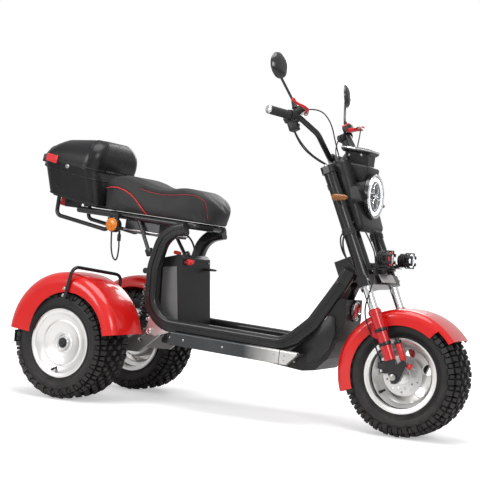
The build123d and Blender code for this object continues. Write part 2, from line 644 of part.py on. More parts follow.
def axle_bracket():
    """Left V-shaped axle carrier: one arm to the slider and one to the small damper."""
    plate = side_plate([(LEG_X - 20, SLIDER_LOW - SEAT_GAP), (LEG_X + 20, SLIDER_LOW - SEAT_GAP),
                        (LEG_X + 14, 30), (LEG_X + 36, 46), (LEG_X + 60, 30), (FORK_OFFSET + 16, -20),
                        (FORK_OFFSET, -26), (FORK_OFFSET - 16, -20)], 22)
    plate = fillet(plate.edges().filter_by(Axis.Y), 5)
    plate = Pos(0, LEG_Y, 0) * plate
    plate -= Pos(FORK_OFFSET, LEG_Y, 0) * across(AXLE_R + SEAT_GAP, 22)
    damper = Pos(LEG_X + 48, LEG_Y, 0) * (upright(6, 24, 130) + upright(11, 44, 112) + upright(13, 112, 120))
    knob = Pos(LEG_X + 62, LEG_Y, 18) * Rot(0, 70, 0) * Cylinder(8, 18)
    return STEER * (plate + damper + knob)


def front_axle():
    """Front spindle through both axle carriers."""
    return Pos(WHEELBASE, 0, TYRE_R) * across(AXLE_R, FORK_SPACING + 44)


def brake_caliper():
    """Caliper over the disc's rear edge, on an arm from the right axle carrier."""
    bracket_face = LEG_Y - 11 - SEAT_GAP
    body = fillet((Pos(-70, -DISC_Y - 4, 24) * Box(32, 34, 46)).edges().filter_by(Axis.Y), 6)
    body -= Pos(0, -DISC_Y, 0) * across(DISC_R + 3, 8)
    arm_in = DISC_Y + 16
    arm = Pos(-44, -(arm_in + bracket_face) / 2, 34) * Box(52, bracket_face - arm_in, 22)
    return Pos(WHEELBASE, 0, TYRE_R) * (body + arm)


def front_fender():
    """Front mudguard between the sliders: scalloped skirts and a bolting lug to each slider."""
    half = TYRE_W / 2 + 9
    wall = 3
    start, end = 36, 200
    strip = domed_strip(TYRE_R + 17, half, TYRE_R - 42, TYRE_R - 42, wall, 30, end - start)
    strip = Rot(0, -end, 0) * strip
    nose = Pos(190, 0, 98) * across(92, 2 * half + 2) - Pos(190, 0, 98) * across(92, 2 * half - 12)
    strip = Pos(WHEELBASE, 0, TYRE_R) * (strip - nose)
    leg = LEG_Y - SLIDER_R - SEAT_GAP
    lug = Pos(LEG_X, (half - wall + leg) / 2, 196) * Box(32, leg - half + wall, 50)
    lug = STEER * fillet(lug.edges().filter_by(Axis.Y), 6)
    return strip + lug + flip(lug)


# ---- lamps and controls ---------------------------------------------------------------------
def headlamp_shell():
    """Round lamp bowl facing forward, with a strap to each fork leg."""
    rim = HEADLAMP_R - 8
    bowl = [
        Line((0, 0), (50, 0)),
        Spline((50, 0), (74, 14), (HEADLAMP_R - 3, 40), (HEADLAMP_R, LAMP_DEPTH - 20)),
        Polyline((HEADLAMP_R, LAMP_DEPTH - 20), (HEADLAMP_R + 3, LAMP_DEPTH - 16), (HEADLAMP_R + 3, LAMP_DEPTH),
                 (rim, LAMP_DEPTH), (rim, LAMP_DEPTH - 12), (0, LAMP_DEPTH - 12), (0, 0)),
    ]
    shell = Pos(LAMP_X, 0, LAMP_Z) * Rot(0, 0, -90) * revolve(make_face(bowl), Axis.Y)
    reach = LEG_Y - SHROUD_R - SEAT_GAP
    strap = fillet(Box(76, reach - HEADLAMP_R + 10, 64).edges().filter_by(Axis.Y), 14)
    strap = STEER * Pos(82, (reach + HEADLAMP_R - 10) / 2, 690) * strap
    return shell + strap + flip(strap)


def headlamp_lens():
    """Front glass, seated in the bowl's rim."""
    thick = 11
    place = LAMP_X + LAMP_DEPTH - 12 + SEAT_GAP + thick / 2
    return Pos(place, 0, LAMP_Z) * ahead(HEADLAMP_R - 8 - SEAT_GAP, thick)


def dash():
    """Cowl over the lamp: a tapered neck that carries the display, on a foot to the yoke."""
    neck = loft([Plane.XY.offset(1058) * Pos(1114, 0, 0) * chamfer(Rectangle(96, 112).vertices(), 18),
                 Plane.XY.offset(984) * Pos(1126, 0, 0) * chamfer(Rectangle(66, 84).vertices(), 12)])
    screen = chamfer(Rectangle(124, 136).vertices(), 24)
    screen = chamfer(extrude(screen, 20).faces().sort_by(Axis.Z)[0].edges(), 8)
    low = UPPER_CLAMP + UPPER_CLAMP_H + SEAT_GAP
    foot = STEER * Pos(70, 0, low + 16) * Box(66, 34, 32)
    return neck + Pos(1110, 0, 1056) * Rot(0, 8, 0) * screen + foot


def handlebar():
    """Bent bar held on the upper yoke."""
    points = [(x, -y, z) for x, y, z in reversed(BAR_HALF)] + BAR_HALF
    return STEER * bar(points, Circle(HANDLEBAR_R), [40, 60, 40, 40, 60, 40])


def on_bar(start, end, radius, bore):
    """A sleeve on the bar's straight outer run, between two shares of its length."""
    inner, outer = Vector(*BAR_HALF[2]), Vector(*BAR_HALF[3])
    run = outer - inner
    length = run.length * (end - start)
    sleeve = upright(radius, 0, length) - upright(bore, 0, length)
    return Plane(origin=inner + run * start, z_dir=run) * sleeve


def grip():
    """Left rubber grip, with its flange and bar-end weight."""
    bore = HANDLEBAR_R + SEAT_GAP
    return STEER * (on_bar(0.36, 0.97, 16, bore) + on_bar(0.36, 0.39, 19, bore))


def hand_control():
    """Left switch pod, reservoir block and brake lever."""
    pod = on_bar(0.1, 0.34, 21, HANDLEBAR_R + SEAT_GAP)
    block = Pos(34, 256, 1040) * Box(34, 40, 26)
    block -= Plane(origin=BAR_HALF[2], z_dir=Vector(*BAR_HALF[3]) - Vector(*BAR_HALF[2])) * upright(
        HANDLEBAR_R + SEAT_GAP, -40, 80)
    lever = bar([(40, 258, 1032), (66, 276, 1028), (72, 330, 1034), (58, 382, 1048)], Circle(6), [20, 60])
    return STEER * (pod + block + lever)


def mirror_unit():
    """Left mirror: stem from the reservoir block and round, dished head."""
    foot = 1053 + SEAT_GAP
    stem = bar([(30, 258, foot), (30, 258, foot + 34), (36, 326, foot + 128)], Circle(5), [26])
    back = Spline((0, -16), (30, -13), (48, -2))
    rest = Polyline((48, -2), (50, 4), (0, 4), (0, -16))
    head = revolve(Plane.XZ * make_face([back, rest]), Axis.Z)
    head = Pos(50, 330, foot + 152) * Rot(0, -90 + RAKE - 6, 0) * Rot(12, 0, 0) * head
    return STEER * (stem + head)


def front_signal():
    """Left front turn signal on its stalk from the fork leg."""
    inner = LEG_Y + SHROUD_R + SEAT_GAP
    stalk = Pos(LEG_X + 6, inner + 12, 694) * across(6, 24)
    outline = Polyline((0, 0), (11, 0), (13, 10), (11, 46), (6, 58), (0, 60), close=True)
    lens = revolve(Plane.XZ * make_face(outline), Axis.Z)
    return STEER * (stalk + Pos(LEG_X, inner + 30, 696) * Rot(0, 90 + RAKE, 0) * lens)


def lamp_bracket():
    """Bar above the lower yoke that carries the two spot lamps and a blank plate."""
    cross = Pos(BRACKET_X, 0, BRACKET_Z + 28) * Box(8, 270, 26)
    foot = Pos(BRACKET_X - 14, 0, BRACKET_Z + 14) * Box(32, 60, 28)
    plate = Pos(BRACKET_X + 26, 0, BRACKET_Z + 16) * Rot(0, RAKE, 0) * Box(62, 110, 3)
    return STEER * (cross + foot + plate)


def spot_lamp():
    """Left spot lamp: a finned can and bezel on a lug from the bracket."""
    lug_length = SPOT_X - BRACKET_X - 4 - SEAT_GAP
    profile = [(0, -24), (20, -24), (22, -18)]
    for fin in range(3):
        profile += [(27, -16 + 8 * fin), (27, -12 + 8 * fin), (23, -11 + 8 * fin), (23, -9 + 8 * fin)]
    profile += [(26, 12), (29, 16), (29, 24), (25, 26), (0, 26)]
    can = Rot(0, 90 + RAKE, 0) * revolve(Plane.XZ * make_face(Polyline(*profile, close=True)), Axis.Z)
    lug = Pos(-lug_length / 2, 0, -12) * Box(lug_length, 14, 14)
    return STEER * Pos(SPOT_X, 118, BRACKET_Z + 40) * (can + lug)


# ---- nodes ----------------------------------------------------------------------------------
def build():
    """Write every node: the mirrored pairs, the single pieces and the wheels."""
    os.makedirs("parts", exist_ok=True)
    rear_axle = Pos(0, WHEEL_Y, TYRE_R)
    front_axle_place = Pos(WHEELBASE, 0, TYRE_R)
    sided = {"frame_loop": frame_loop(), "rear_rim": rear_axle * rear_rim(), "rear_tyre": rear_axle * tyre()}
    for name, part in sided.items():
        save(f"{name}_left", part)
        save(f"{name}_right", flip(part))
    pairs = {
        "trailing_arms": trailing_arm(), "rear_shocks": shock(), "rear_fenders": rear_fender(),
        "fender_hoops": fender_hoop(), "side_rails": side_rail(), "rear_signals": rear_signal(),
        "fork_stanchions": stanchion(), "fork_shrouds": shroud(), "fork_sliders": slider(),
        "axle_brackets": axle_bracket(), "grips": grip(), "hand_controls": hand_control(),
        "mirrors": mirror_unit(), "front_signals": front_signal(), "spot_lamps": spot_lamp(),
    }
    for name, part in pairs.items():
        save(name, part, flip(part))
    singles = {
        "front_rim": front_axle_place * front_rim(), "front_tyre": front_axle_place * tyre(),
        "brake_disc": front_axle_place * brake_disc(), "arm_pivot": arm_pivot(),
        "shock_crossbar": shock_crossbar(), "head_tube": head_tube(),
        "seat_rails": seat_rails(), "footboard": footboard(), "belly_cover": belly_cover(), "horn": horn(),
        "seat": seat(), "battery_case": battery_case(), "under_seat_box": under_seat_box(),
        "battery_lead": battery_lead(), "case_rack": case_rack(), "case_base": case_base(),
        "case_lid": case_lid(), "tail_light": tail_light(), "upper_clamp": upper_clamp(),
        "lower_clamp": lower_clamp(), "front_axle": front_axle(), "brake_caliper": brake_caliper(),
        "front_fender": front_fender(), "headlamp_shell": headlamp_shell(), "headlamp_lens": headlamp_lens(),
        "dash": dash(), "handlebar": handlebar(), "lamp_bracket": lamp_bracket(),
    }
    for name, part in singles.items():
        save(name, part)


build()
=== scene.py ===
import json
from math import cos, pi, radians, sin, tau

import bpy
from mathutils import Matrix, Vector
from mathutils.bvhtree import BVHTree
from mathutils.kdtree import KDTree


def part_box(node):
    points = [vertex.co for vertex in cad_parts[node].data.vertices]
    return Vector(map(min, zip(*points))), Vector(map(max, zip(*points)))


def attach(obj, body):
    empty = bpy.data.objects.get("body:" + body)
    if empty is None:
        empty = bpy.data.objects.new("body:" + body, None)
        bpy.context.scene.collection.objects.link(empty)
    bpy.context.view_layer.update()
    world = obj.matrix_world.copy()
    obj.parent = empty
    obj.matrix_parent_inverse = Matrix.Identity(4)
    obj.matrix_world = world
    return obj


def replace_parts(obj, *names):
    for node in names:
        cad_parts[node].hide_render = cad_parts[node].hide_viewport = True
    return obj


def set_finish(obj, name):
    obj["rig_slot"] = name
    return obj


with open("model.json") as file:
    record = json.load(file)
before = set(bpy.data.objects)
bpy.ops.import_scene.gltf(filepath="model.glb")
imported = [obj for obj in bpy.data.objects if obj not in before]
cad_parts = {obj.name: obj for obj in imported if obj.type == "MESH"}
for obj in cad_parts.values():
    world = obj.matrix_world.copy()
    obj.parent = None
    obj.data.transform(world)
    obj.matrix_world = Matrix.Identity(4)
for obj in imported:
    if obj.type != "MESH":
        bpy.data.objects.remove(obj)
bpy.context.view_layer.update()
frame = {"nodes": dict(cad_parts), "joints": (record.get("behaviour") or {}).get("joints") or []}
cad = frame["nodes"]
scene = bpy.context.scene
scene.view_settings.view_transform = "Standard"

# ---- Setting out ----------------------------------------------------------------------------
# The tricycle is set out from its rear axle: millimetres ahead of it, to the left of the middle
# and up from the floor. The fork is set out along its own raked steering axis.
rear_axle_x = (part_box("rear_tyre_left")[0][0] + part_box("rear_tyre_left")[1][0]) / 2
steering = next(joint for joint in frame["joints"] if joint["name"] == "steering")
steering_foot = Vector(steering["pos_m"]) - 0.6 * Vector(steering["axis"])
FORK = Matrix.Translation(steering_foot) @ Matrix.Rotation(radians(-23), 4, "Y")


def spot(ahead, left, up):
    """A point of the vehicle, in metres, from millimetres off the rear axle's middle."""
    return Vector((rear_axle_x + ahead / 1000, left / 1000, up / 1000))


# ---- Camera, floor and lamps ----------------------------------------------------------------
# A long lens low at the front right corner, its horizon tipped a little. The floor is a plain
# white sheet, lit by a wide lamp overhead, one on each side and a low one from the front.
look = Vector((-sin(radians(28)), cos(radians(28)), sin(radians(1.4)))).normalized()
level = look.cross(Vector((0, 0, 1))).normalized()
rise = level.cross(look)
tip = radians(4)
right = cos(tip) * level + sin(tip) * rise
upward = cos(tip) * rise - sin(tip) * level
bpy.ops.object.camera_add()
camera = bpy.context.object
camera.name = "camera"
turn = Matrix((right, upward, -look)).transposed().to_4x4()
camera.matrix_world = Matrix.Translation(spot(2630, -3796, 592)) @ turn
camera.data.lens = 78.75
camera.data.sensor_width = 36
camera.data.clip_end = 100
scene.camera = camera

bpy.ops.mesh.primitive_plane_add(size=60, location=(0, 0, 0))
floor = bpy.context.object
floor.name = "studio_floor"
paper = bpy.data.materials.new("white_paper")
paper.use_nodes = True
nodes, links = paper.node_tree.nodes, paper.node_tree.links
sheet = nodes["Principled BSDF"]
sheet.inputs["Base Color"].default_value = (0.93, 0.93, 0.93, 1)
sheet.inputs["Roughness"].default_value = 0.9
glow = nodes.new("ShaderNodeEmission")
spread = nodes.new("ShaderNodeTexCoord")
distance = nodes.new("ShaderNodeVectorMath")
distance.operation = "LENGTH"
fade = nodes.new("ShaderNodeMapRange")
for label, value in (("From Min", 1.2), ("From Max", 5.0), ("To Min", 0.42), ("To Max", 1.0)):
    fade.inputs[label].default_value = value
both = nodes.new("ShaderNodeAddShader")
seen = nodes.new("ShaderNodeLightPath")
pick = nodes.new("ShaderNodeMixShader")
links.new(spread.outputs["Object"], distance.inputs[0])
links.new(distance.outputs["Value"], fade.inputs["Value"])
links.new(fade.outputs[0], glow.inputs["Strength"])
links.new(seen.outputs["Is Camera Ray"], pick.inputs[0])
links.new(sheet.outputs[0], both.inputs[0])
links.new(glow.outputs[0], both.inputs[1])
links.new(sheet.outputs[0], pick.inputs[1])
links.new(both.outputs[0], pick.inputs[2])
links.new(pick.outputs[0], nodes["Material Output"].inputs["Surface"])
floor.data.materials.append(paper)

world = bpy.data.worlds.new("studio_air")
scene.world = world
world.use_nodes = True
nodes, links = world.node_tree.nodes, world.node_tree.links
air = nodes["Background"]
air.inputs["Color"].default_value = (1, 1, 1, 1)
seen = nodes.new("ShaderNodeLightPath")
lift = nodes.new("ShaderNodeMapRange")
lift.inputs["To Min"].default_value = 0.3
lift.inputs["To Max"].default_value = 1.0
kinds = [seen.outputs[kind] for kind in ("Is Camera Ray", "Is Glossy Ray", "Is Transmission Ray")]
part_seen = nodes.new("ShaderNodeMath")
part_seen.operation = "MULTIPLY"
part_seen.inputs[1].default_value = 0.5
links.new(kinds[1], part_seen.inputs[0])
kinds[1] = part_seen.outputs[0]
for first, second in ((0, 1), (2, 3)):
    most = nodes.new("ShaderNodeMath")
    most.operation = "MAXIMUM"
    links.new(kinds[first], most.inputs[0])
    links.new(kinds[second], most.inputs[1])
    kinds.append(most.outputs[0])
links.new(kinds[-1], lift.inputs["Value"])
links.new(lift.outputs[0], air.inputs["Strength"])

for name, place, aim, size, power in (
    ("overhead_lamp", (0.3, -0.6, 3.4), (0.0, 0, 0.4), 2.6, 70),
    ("front_lamp", (3.2, -2.6, 2.2), (0.4, 0, 0.5), 1.6, 46),
    ("near_lamp", (-1.8, -3.6, 1.9), (-0.2, 0, 0.5), 1.8, 50),
    ("far_lamp", (-0.6, 3.4, 2.4), (0, 0, 0.6), 1.8, 34),
):
    bpy.ops.object.light_add(type="AREA", location=place)
    lamp = bpy.context.object
    lamp.name = name
    lamp.data.shape = "DISK"
    lamp.data.size = size
    lamp.data.energy = power
    lamp.rotation_euler = (Vector(aim) - Vector(place)).to_track_quat("-Z", "Y").to_euler()

# ---- Battery lead ---------------------------------------------------------------------------
# A round rubber power lead from the housing under the seat, over and down to the socket on the
# battery's front, where it ends in a moulded boot. The effect groups for all finishes start here.


def effect(name, inputs, outputs):
    """An empty shader node group with named sockets: (name, kind, default) and (name, kind)."""
    group = bpy.data.node_groups.new(name, "ShaderNodeTree")
    for label, kind, value in inputs:
        socket = group.interface.new_socket(label, in_out="INPUT", socket_type="NodeSocket" + kind)
        socket.default_value = value
    for label, kind in outputs:
        group.interface.new_socket(label, in_out="OUTPUT", socket_type="NodeSocket" + kind)
    return group, group.nodes.new("NodeGroupInput"), group.nodes.new("NodeGroupOutput")


def add_node(tree, kind, **settings):
    """A node in a tree, with its settings, or its sockets' values where a name is a socket's."""
    node = tree.nodes.new("ShaderNode" + kind)
    for label, value in settings.items():
        if hasattr(node, label):
            setattr(node, label, value)
        else:
            node.inputs[label.replace("_", " ")].default_value = value
    return node


def sum_node(tree, operation, first, second):
    """A math node of two sockets or numbers."""
    node = add_node(tree, "Math", operation=operation)
    for socket, value in zip(node.inputs, (first, second)):
        if isinstance(value, (int, float)):
            socket.default_value = value
        else:
            tree.links.new(value, socket)
    return node.outputs[0]


def mix_colour(tree, amount, first, second):
    """Blend two colour sockets by a factor socket."""
    node = add_node(tree, "Mix", data_type="RGBA")
    tree.links.new(amount, node.inputs[0])
    tree.links.new(first, node.inputs[6])
    tree.links.new(second, node.inputs[7])
    return node.outputs[2]


# Surface: a fine pebbled or cast grain, broad cloudy change of shade, and scuffed spots.
SURFACE, given, put = effect(
    "surface_grain",
    [("Colour", "Color", (0.1, 0.1, 0.1, 1)), ("Worn Colour", "Color", (0.2, 0.2, 0.2, 1)),
     ("Grain Size", "Float", 600), ("Wear", "Float", 0.3), ("Roughness", "Float", 0.5),
     ("Vary", "Float", 0.12)],
    [("Colour", "Color"), ("Roughness", "Float"), ("Height", "Float")],
)
where = add_node(SURFACE, "TexCoord").outputs["Object"]
fine = add_node(SURFACE, "TexNoise", Detail=3.0, Roughness=0.6)
SURFACE.links.new(where, fine.inputs["Vector"])
SURFACE.links.new(given.outputs["Grain Size"], fine.inputs["Scale"])
cloud = add_node(SURFACE, "TexNoise", Scale=7.0, Detail=5.0, Roughness=0.6)
SURFACE.links.new(where, cloud.inputs["Vector"])
scuffs = add_node(SURFACE, "TexNoise", Scale=38.0, Detail=8.0, Roughness=0.75)
SURFACE.links.new(where, scuffs.inputs["Vector"])
spots = add_node(SURFACE, "MapRange", From_Min=0.6, From_Max=0.74)
SURFACE.links.new(scuffs.outputs[0], spots.inputs["Value"])
worn = sum_node(SURFACE, "MULTIPLY", spots.outputs[0], given.outputs["Wear"])
shade = sum_node(SURFACE, "MULTIPLY", cloud.outputs[0], given.outputs["Vary"])
shade = sum_node(SURFACE, "ADD", shade, worn)
SURFACE.links.new(mix_colour(SURFACE, shade, given.outputs["Colour"], given.outputs["Worn Colour"]),
                  put.inputs["Colour"])
rough = sum_node(SURFACE, "SUBTRACT", cloud.outputs[0], 0.5)
rough = sum_node(SURFACE, "MULTIPLY", rough, given.outputs["Vary"])
rough = sum_node(SURFACE, "ADD", rough, given.outputs["Roughness"])
rough = sum_node(SURFACE, "ADD", rough, sum_node(SURFACE, "MULTIPLY", worn, 0.2))
SURFACE.links.new(rough, put.inputs["Roughness"])
SURFACE.links.new(fine.outputs[0], put.inputs["Height"])

# Road dust: thickest near the floor, in soft patches, gone above the Top height.
DUST, given, put = effect(
    "road_dust",
    [("Colour", "Color", (0.1, 0.1, 0.1, 1)), ("Dust", "Color", (0.33, 0.29, 0.24, 1)),
     ("Top", "Float", 0.35), ("Amount", "Float", 0.3)],
    [("Colour", "Color"), ("Mask", "Float")],
)
where = add_node(DUST, "TexCoord").outputs["Object"]
height = add_node(DUST, "SeparateXYZ")
DUST.links.new(where, height.inputs[0])
fade = add_node(DUST, "MapRange", From_Min=0.0, To_Min=1.0, To_Max=0.0)
DUST.links.new(height.outputs["Z"], fade.inputs["Value"])
DUST.links.new(given.outputs["Top"], fade.inputs["From Max"])
patches = add_node(DUST, "TexNoise", Scale=26.0, Detail=6.0, Roughness=0.7)
DUST.links.new(where, patches.inputs["Vector"])
soft = add_node(DUST, "MapRange", From_Min=0.35, From_Max=0.75)
DUST.links.new(patches.outputs[0], soft.inputs["Value"])
mask = sum_node(DUST, "MULTIPLY", fade.outputs[0], soft.outputs[0])
mask = sum_node(DUST, "MULTIPLY", mask, given.outputs["Amount"])
DUST.links.new(mix_colour(DUST, mask, given.outputs["Colour"], given.outputs["Dust"]), put.inputs["Colour"])
DUST.links.new(mask, put.inputs["Mask"])


def finish_of(name, colour, worn=None, roughness=0.5, grain=600.0, relief=0.1, wear=0.2, vary=0.15,
              dust=0.0, dust_top=0.45, metallic=0.0, coat=0.0, coat_roughness=0.05, sheen=0.0):
    """A material: the surface group, then the road dust group, into one Principled shader."""
    material = bpy.data.materials.new(name)
    material.use_nodes = True
    tree = material.node_tree
    shader = tree.nodes["Principled BSDF"]
    surface = add_node(tree, "Group", node_tree=SURFACE)
    worn = worn or [min(1, 0.04 + 1.7 * part) for part in colour]
    for label, value in (("Colour", (*colour, 1)), ("Worn Colour", (*worn, 1)), ("Grain Size", grain),
                         ("Wear", wear), ("Roughness", roughness), ("Vary", vary)):
        surface.inputs[label].default_value = value
    paint = surface.outputs["Colour"]
    if dust:
        soil = add_node(tree, "Group", node_tree=DUST)
        soil.inputs["Amount"].default_value = dust
        soil.inputs["Top"].default_value = dust_top
        tree.links.new(paint, soil.inputs["Colour"])
        paint = soil.outputs["Colour"]
    tree.links.new(paint, shader.inputs["Base Color"])
    tree.links.new(surface.outputs["Roughness"], shader.inputs["Roughness"])
    bump = add_node(tree, "Bump", Strength=relief, Distance=0.0006)
    tree.links.new(surface.outputs["Height"], bump.inputs["Height"])
    tree.links.new(bump.outputs[0], shader.inputs["Normal"])
    shader.inputs["Metallic"].default_value = metallic
    shader.inputs["Specular IOR Level"].default_value = 0.32
    shader.inputs["Coat Weight"].default_value = coat
    shader.inputs["Coat Roughness"].default_value = coat_roughness
    shader.inputs["Sheen Weight"].default_value = sheen
    return material


def dress(node, material):
    """Give a frame node its finish."""
    piece = cad[node]
    piece.data.materials.clear()
    piece.data.materials.append(material)


lead_rubber = finish_of("lead_rubber", (0.018, 0.018, 0.019), roughness=0.5, grain=900, relief=0.15, dust=0.1)
LEAD_ROUTE = [(290.7, -60, 716), (352, -60, 722), (408, -62, 698), (440, -66, 652), (442, -74, 610),
              (417, -76, 592)]


def drawn_line(name, points, radius, order=3, sides=3, fineness=12):
    """A smooth round bar or cable that follows its control points, its ends closed."""
    line = bpy.data.curves.new(name, "CURVE")
    line.dimensions = "3D"
    run = line.splines.new("NURBS")
    run.points.add(len(points) - 1)
    for point, place in zip(run.points, points):
        point.co = (*place, 1)
    run.order_u = order
    run.use_endpoint_u = True
    line.bevel_depth = radius
    line.bevel_resolution = sides
    line.resolution_u = fineness
    line.use_fill_caps = True
    bar = bpy.data.objects.new(name, line)
    scene.collection.objects.link(bar)
    return bar


lead = drawn_line("power_lead", [spot(*place) for place in LEAD_ROUTE], 0.004, 3, 5, 16)
lead.data.materials.append(lead_rubber)
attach(lead, "frame")
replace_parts(lead, "battery_lead")
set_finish(lead, "rubber")

# ---- Tyres ----------------------------------------------------------------------------------
# Wide off-road tyres. The carcass is a moulded rubber ring with bead lines on its walls. The tread
# is cut in blocks: two staggered rows on each side of the middle, then lugs over each shoulder.


def clear_choice():
    """Deselect everything and leave edit mode."""
    if bpy.context.object and bpy.context.object.mode != "OBJECT":
        bpy.ops.object.mode_set(mode="OBJECT")
    bpy.ops.object.select_all(action="DESELECT")


def choose(*pieces):
    """Select just these pieces, the first of them active."""
    clear_choice()
    for piece in pieces:
        piece.select_set(True)
    bpy.context.view_layer.objects.active = pieces[0]
    return pieces[0]


def spun(points, centre, axis, steps=64):
    """Turn an outline of points about an axis, as on a lathe, and close it into one skin."""
    clear_choice()
    bpy.ops.mesh.primitive_plane_add(size=0.001, location=points[0])
    bpy.ops.object.mode_set(mode="EDIT")
    bpy.ops.mesh.select_mode(type="VERT")
    bpy.ops.mesh.merge(type="CENTER")
    for start, end in zip(points, points[1:]):
        step = [b - a for a, b in zip(start, end)]
        bpy.ops.mesh.extrude_region_move(TRANSFORM_OT_translate={"value": step})
    bpy.ops.mesh.select_all(action="SELECT")
    bpy.ops.mesh.spin(steps=steps, angle=tau, center=centre, axis=axis)
    bpy.ops.mesh.select_all(action="SELECT")
    bpy.ops.mesh.remove_doubles(threshold=0.00002)
    bpy.ops.mesh.normals_make_consistent(inside=False)
    bpy.ops.object.mode_set(mode="OBJECT")
    return bedded(bpy.context.object)


def joined(*pieces):
    """Join pieces into the first of them."""
    choose(*pieces)
    bpy.ops.object.join()
    return bpy.context.object


def bedded(piece):
    """Put a piece's place and turn into its mesh."""
    choose(piece)
    bpy.ops.object.transform_apply(location=True, rotation=True, scale=True)
    return piece


def worked(piece, kind, **settings):
    """Run one modifier over a piece, with its settings, and keep the result."""
    choose(piece)
    change = piece.modifiers.new(kind.lower(), kind)
    for label, value in settings.items():
        setattr(change, label, value)
    bpy.ops.object.modifier_apply(modifier=change.name)
    return piece


def ring_of(piece, count, centre, axis="Y", arc=tau):
    """Copies of a piece round an axis, joined into one."""
    bedded(piece)
    there = Matrix.Translation(centre)
    ring = [piece]
    for index in range(1, count):
        other = bpy.data.objects.new(piece.name, piece.data.copy())
        other.data.transform(there @ Matrix.Rotation(arc * index / count, 4, axis) @ there.inverted())
        scene.collection.objects.link(other)
        ring.append(other)
    return joined(*ring)


def settle(piece, name, material, body, slot, angle=32):
    """Name a finished piece, smooth it, give it its material and set it on its body."""
    bedded(piece)
    bpy.ops.object.shade_smooth_by_angle(angle=radians(angle))
    piece.name = piece.data.name = name
    piece.data.materials.clear()
    piece.data.materials.append(material)
    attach(piece, body)
    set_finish(piece, slot)
    return piece


def twin_of(piece, name, body, move=None):
    """A second piece with its own mesh: mirrored across the vehicle, or moved by a vector."""
    twin = bpy.data.objects.new(name, piece.data.copy())
    scene.collection.objects.link(twin)
    if move is None:
        twin.data.transform(Matrix.Scale(-1, 4, (0, 1, 0)))
        twin.data.flip_normals()
    else:
        twin.data.transform(Matrix.Translation(move))
    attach(twin, body)
    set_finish(twin, piece["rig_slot"] if "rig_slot" in piece else "frame_paint")
    return twin


def pair(piece, name, material, body, slot, angle=32, far_body=None):
    """Settle a left-hand piece and its mirrored twin on the right, and return the twin."""
    settle(piece, name, material, body, slot, angle)
    return twin_of(piece, name.replace("left", "right"), far_body or body)


def tread_block(length, width, tall, radius, across, around=0.0, tilt=0.0, skew=0.0, taper=0.8):
    """One tread block: a box narrowed at its top, its upper edges broken, set on the carcass."""
    clear_choice()
    bpy.ops.mesh.primitive_cube_add(size=1)
    block = bpy.context.object
    block.scale = (length, width, tall)
    bedded(block)
    bpy.ops.object.mode_set(mode="EDIT")
    bpy.ops.mesh.select_all(action="DESELECT")
    bpy.ops.object.mode_set(mode="OBJECT")
    for point in block.data.vertices:
        point.select = point.co.z > 0
    bpy.ops.object.mode_set(mode="EDIT")
    bpy.ops.transform.resize(value=(taper, taper, 1))
    bpy.ops.mesh.select_mode(type="EDGE")
    bpy.ops.mesh.bevel(offset=0.0016, segments=1)
    bpy.ops.object.mode_set(mode="OBJECT")
    place = Matrix.Rotation(around, 4, "Y") @ Matrix.Translation((0, across, radius))
    place = place @ Matrix.Rotation(radians(tilt), 4, "X") @ Matrix.Rotation(radians(skew), 4, "Z")
    block.data.transform(Matrix.Translation(left_axle) @ place)
    return block


left_axle, right_axle, front_axle = spot(0, 265, 228), spot(0, -265, 228), spot(1360, 0, 228)
wall = [(128, 75), (134, 77), (141, 79), (143, 82), (147, 82), (149, 85), (160, 94), (163, 97), (166, 97.5),
        (178, 100.5), (188, 98), (196, 89), (201, 78), (204, 60), (206, 40), (207, 0)]
outline = wall + [(radius, -across) for radius, across in reversed(wall[:-1])]
outline += [(122, -60), (122, 60), wall[0]]


def wheel_turned(line, steps):
    """A turned piece of the left rear wheel from (radius, left of the wheel's middle) millimetres."""
    return spun([left_axle + Vector((0, y / 1000, r / 1000)) for r, y in line], left_axle, (0, 1, 0), steps)


carcass = wheel_turned(outline, 120)
PITCHES = 32
half_pitch = pi / PITCHES
blocks = []
for side in (-1, 1):
    lag = half_pitch if side > 0 else 0
    blocks += [
        tread_block(0.024, 0.026, 0.026, 0.2150, side * 0.0155, lag, skew=side * 24, taper=0.74),
        tread_block(0.021, 0.023, 0.026, 0.2140, side * 0.0455, lag + half_pitch, side * -8, skew=side * -20,
                    taper=0.74),
        tread_block(0.023, 0.030, 0.028, 0.2085, side * 0.0760, lag, side * -24, skew=side * 9, taper=0.76),
        tread_block(0.015, 0.024, 0.025, 0.2085, side * 0.0750, lag + half_pitch, side * -26, taper=0.78),
        tread_block(0.023, 0.026, 0.018, 0.1960, side * 0.0955, lag, side * -64, taper=0.8),
        tread_block(0.015, 0.018, 0.016, 0.1990, side * 0.0945, lag + half_pitch, side * -62, taper=0.8),
    ]
tread = ring_of(joined(*blocks), PITCHES, left_axle)
tyre_rubber = finish_of("tyre_rubber", (0.010, 0.010, 0.011), (0.04, 0.039, 0.038), roughness=0.5, grain=420,
                        relief=0.2, wear=0.3, vary=0.3, dust=0.12, dust_top=0.5)
left_tyre = joined(carcass, tread)
right_tyre = pair(left_tyre, "left_rear_tyre", tyre_rubber, "rear_wheel_left", "tyre", 38, "rear_wheel_right")
front_tyre = twin_of(left_tyre, "front_wheel_tyre", "front_wheel", front_axle - left_axle)
for piece, node in ((left_tyre, "rear_tyre_left"), (right_tyre, "rear_tyre_right"),
                    (front_tyre, "front_tyre")):
    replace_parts(piece, node)

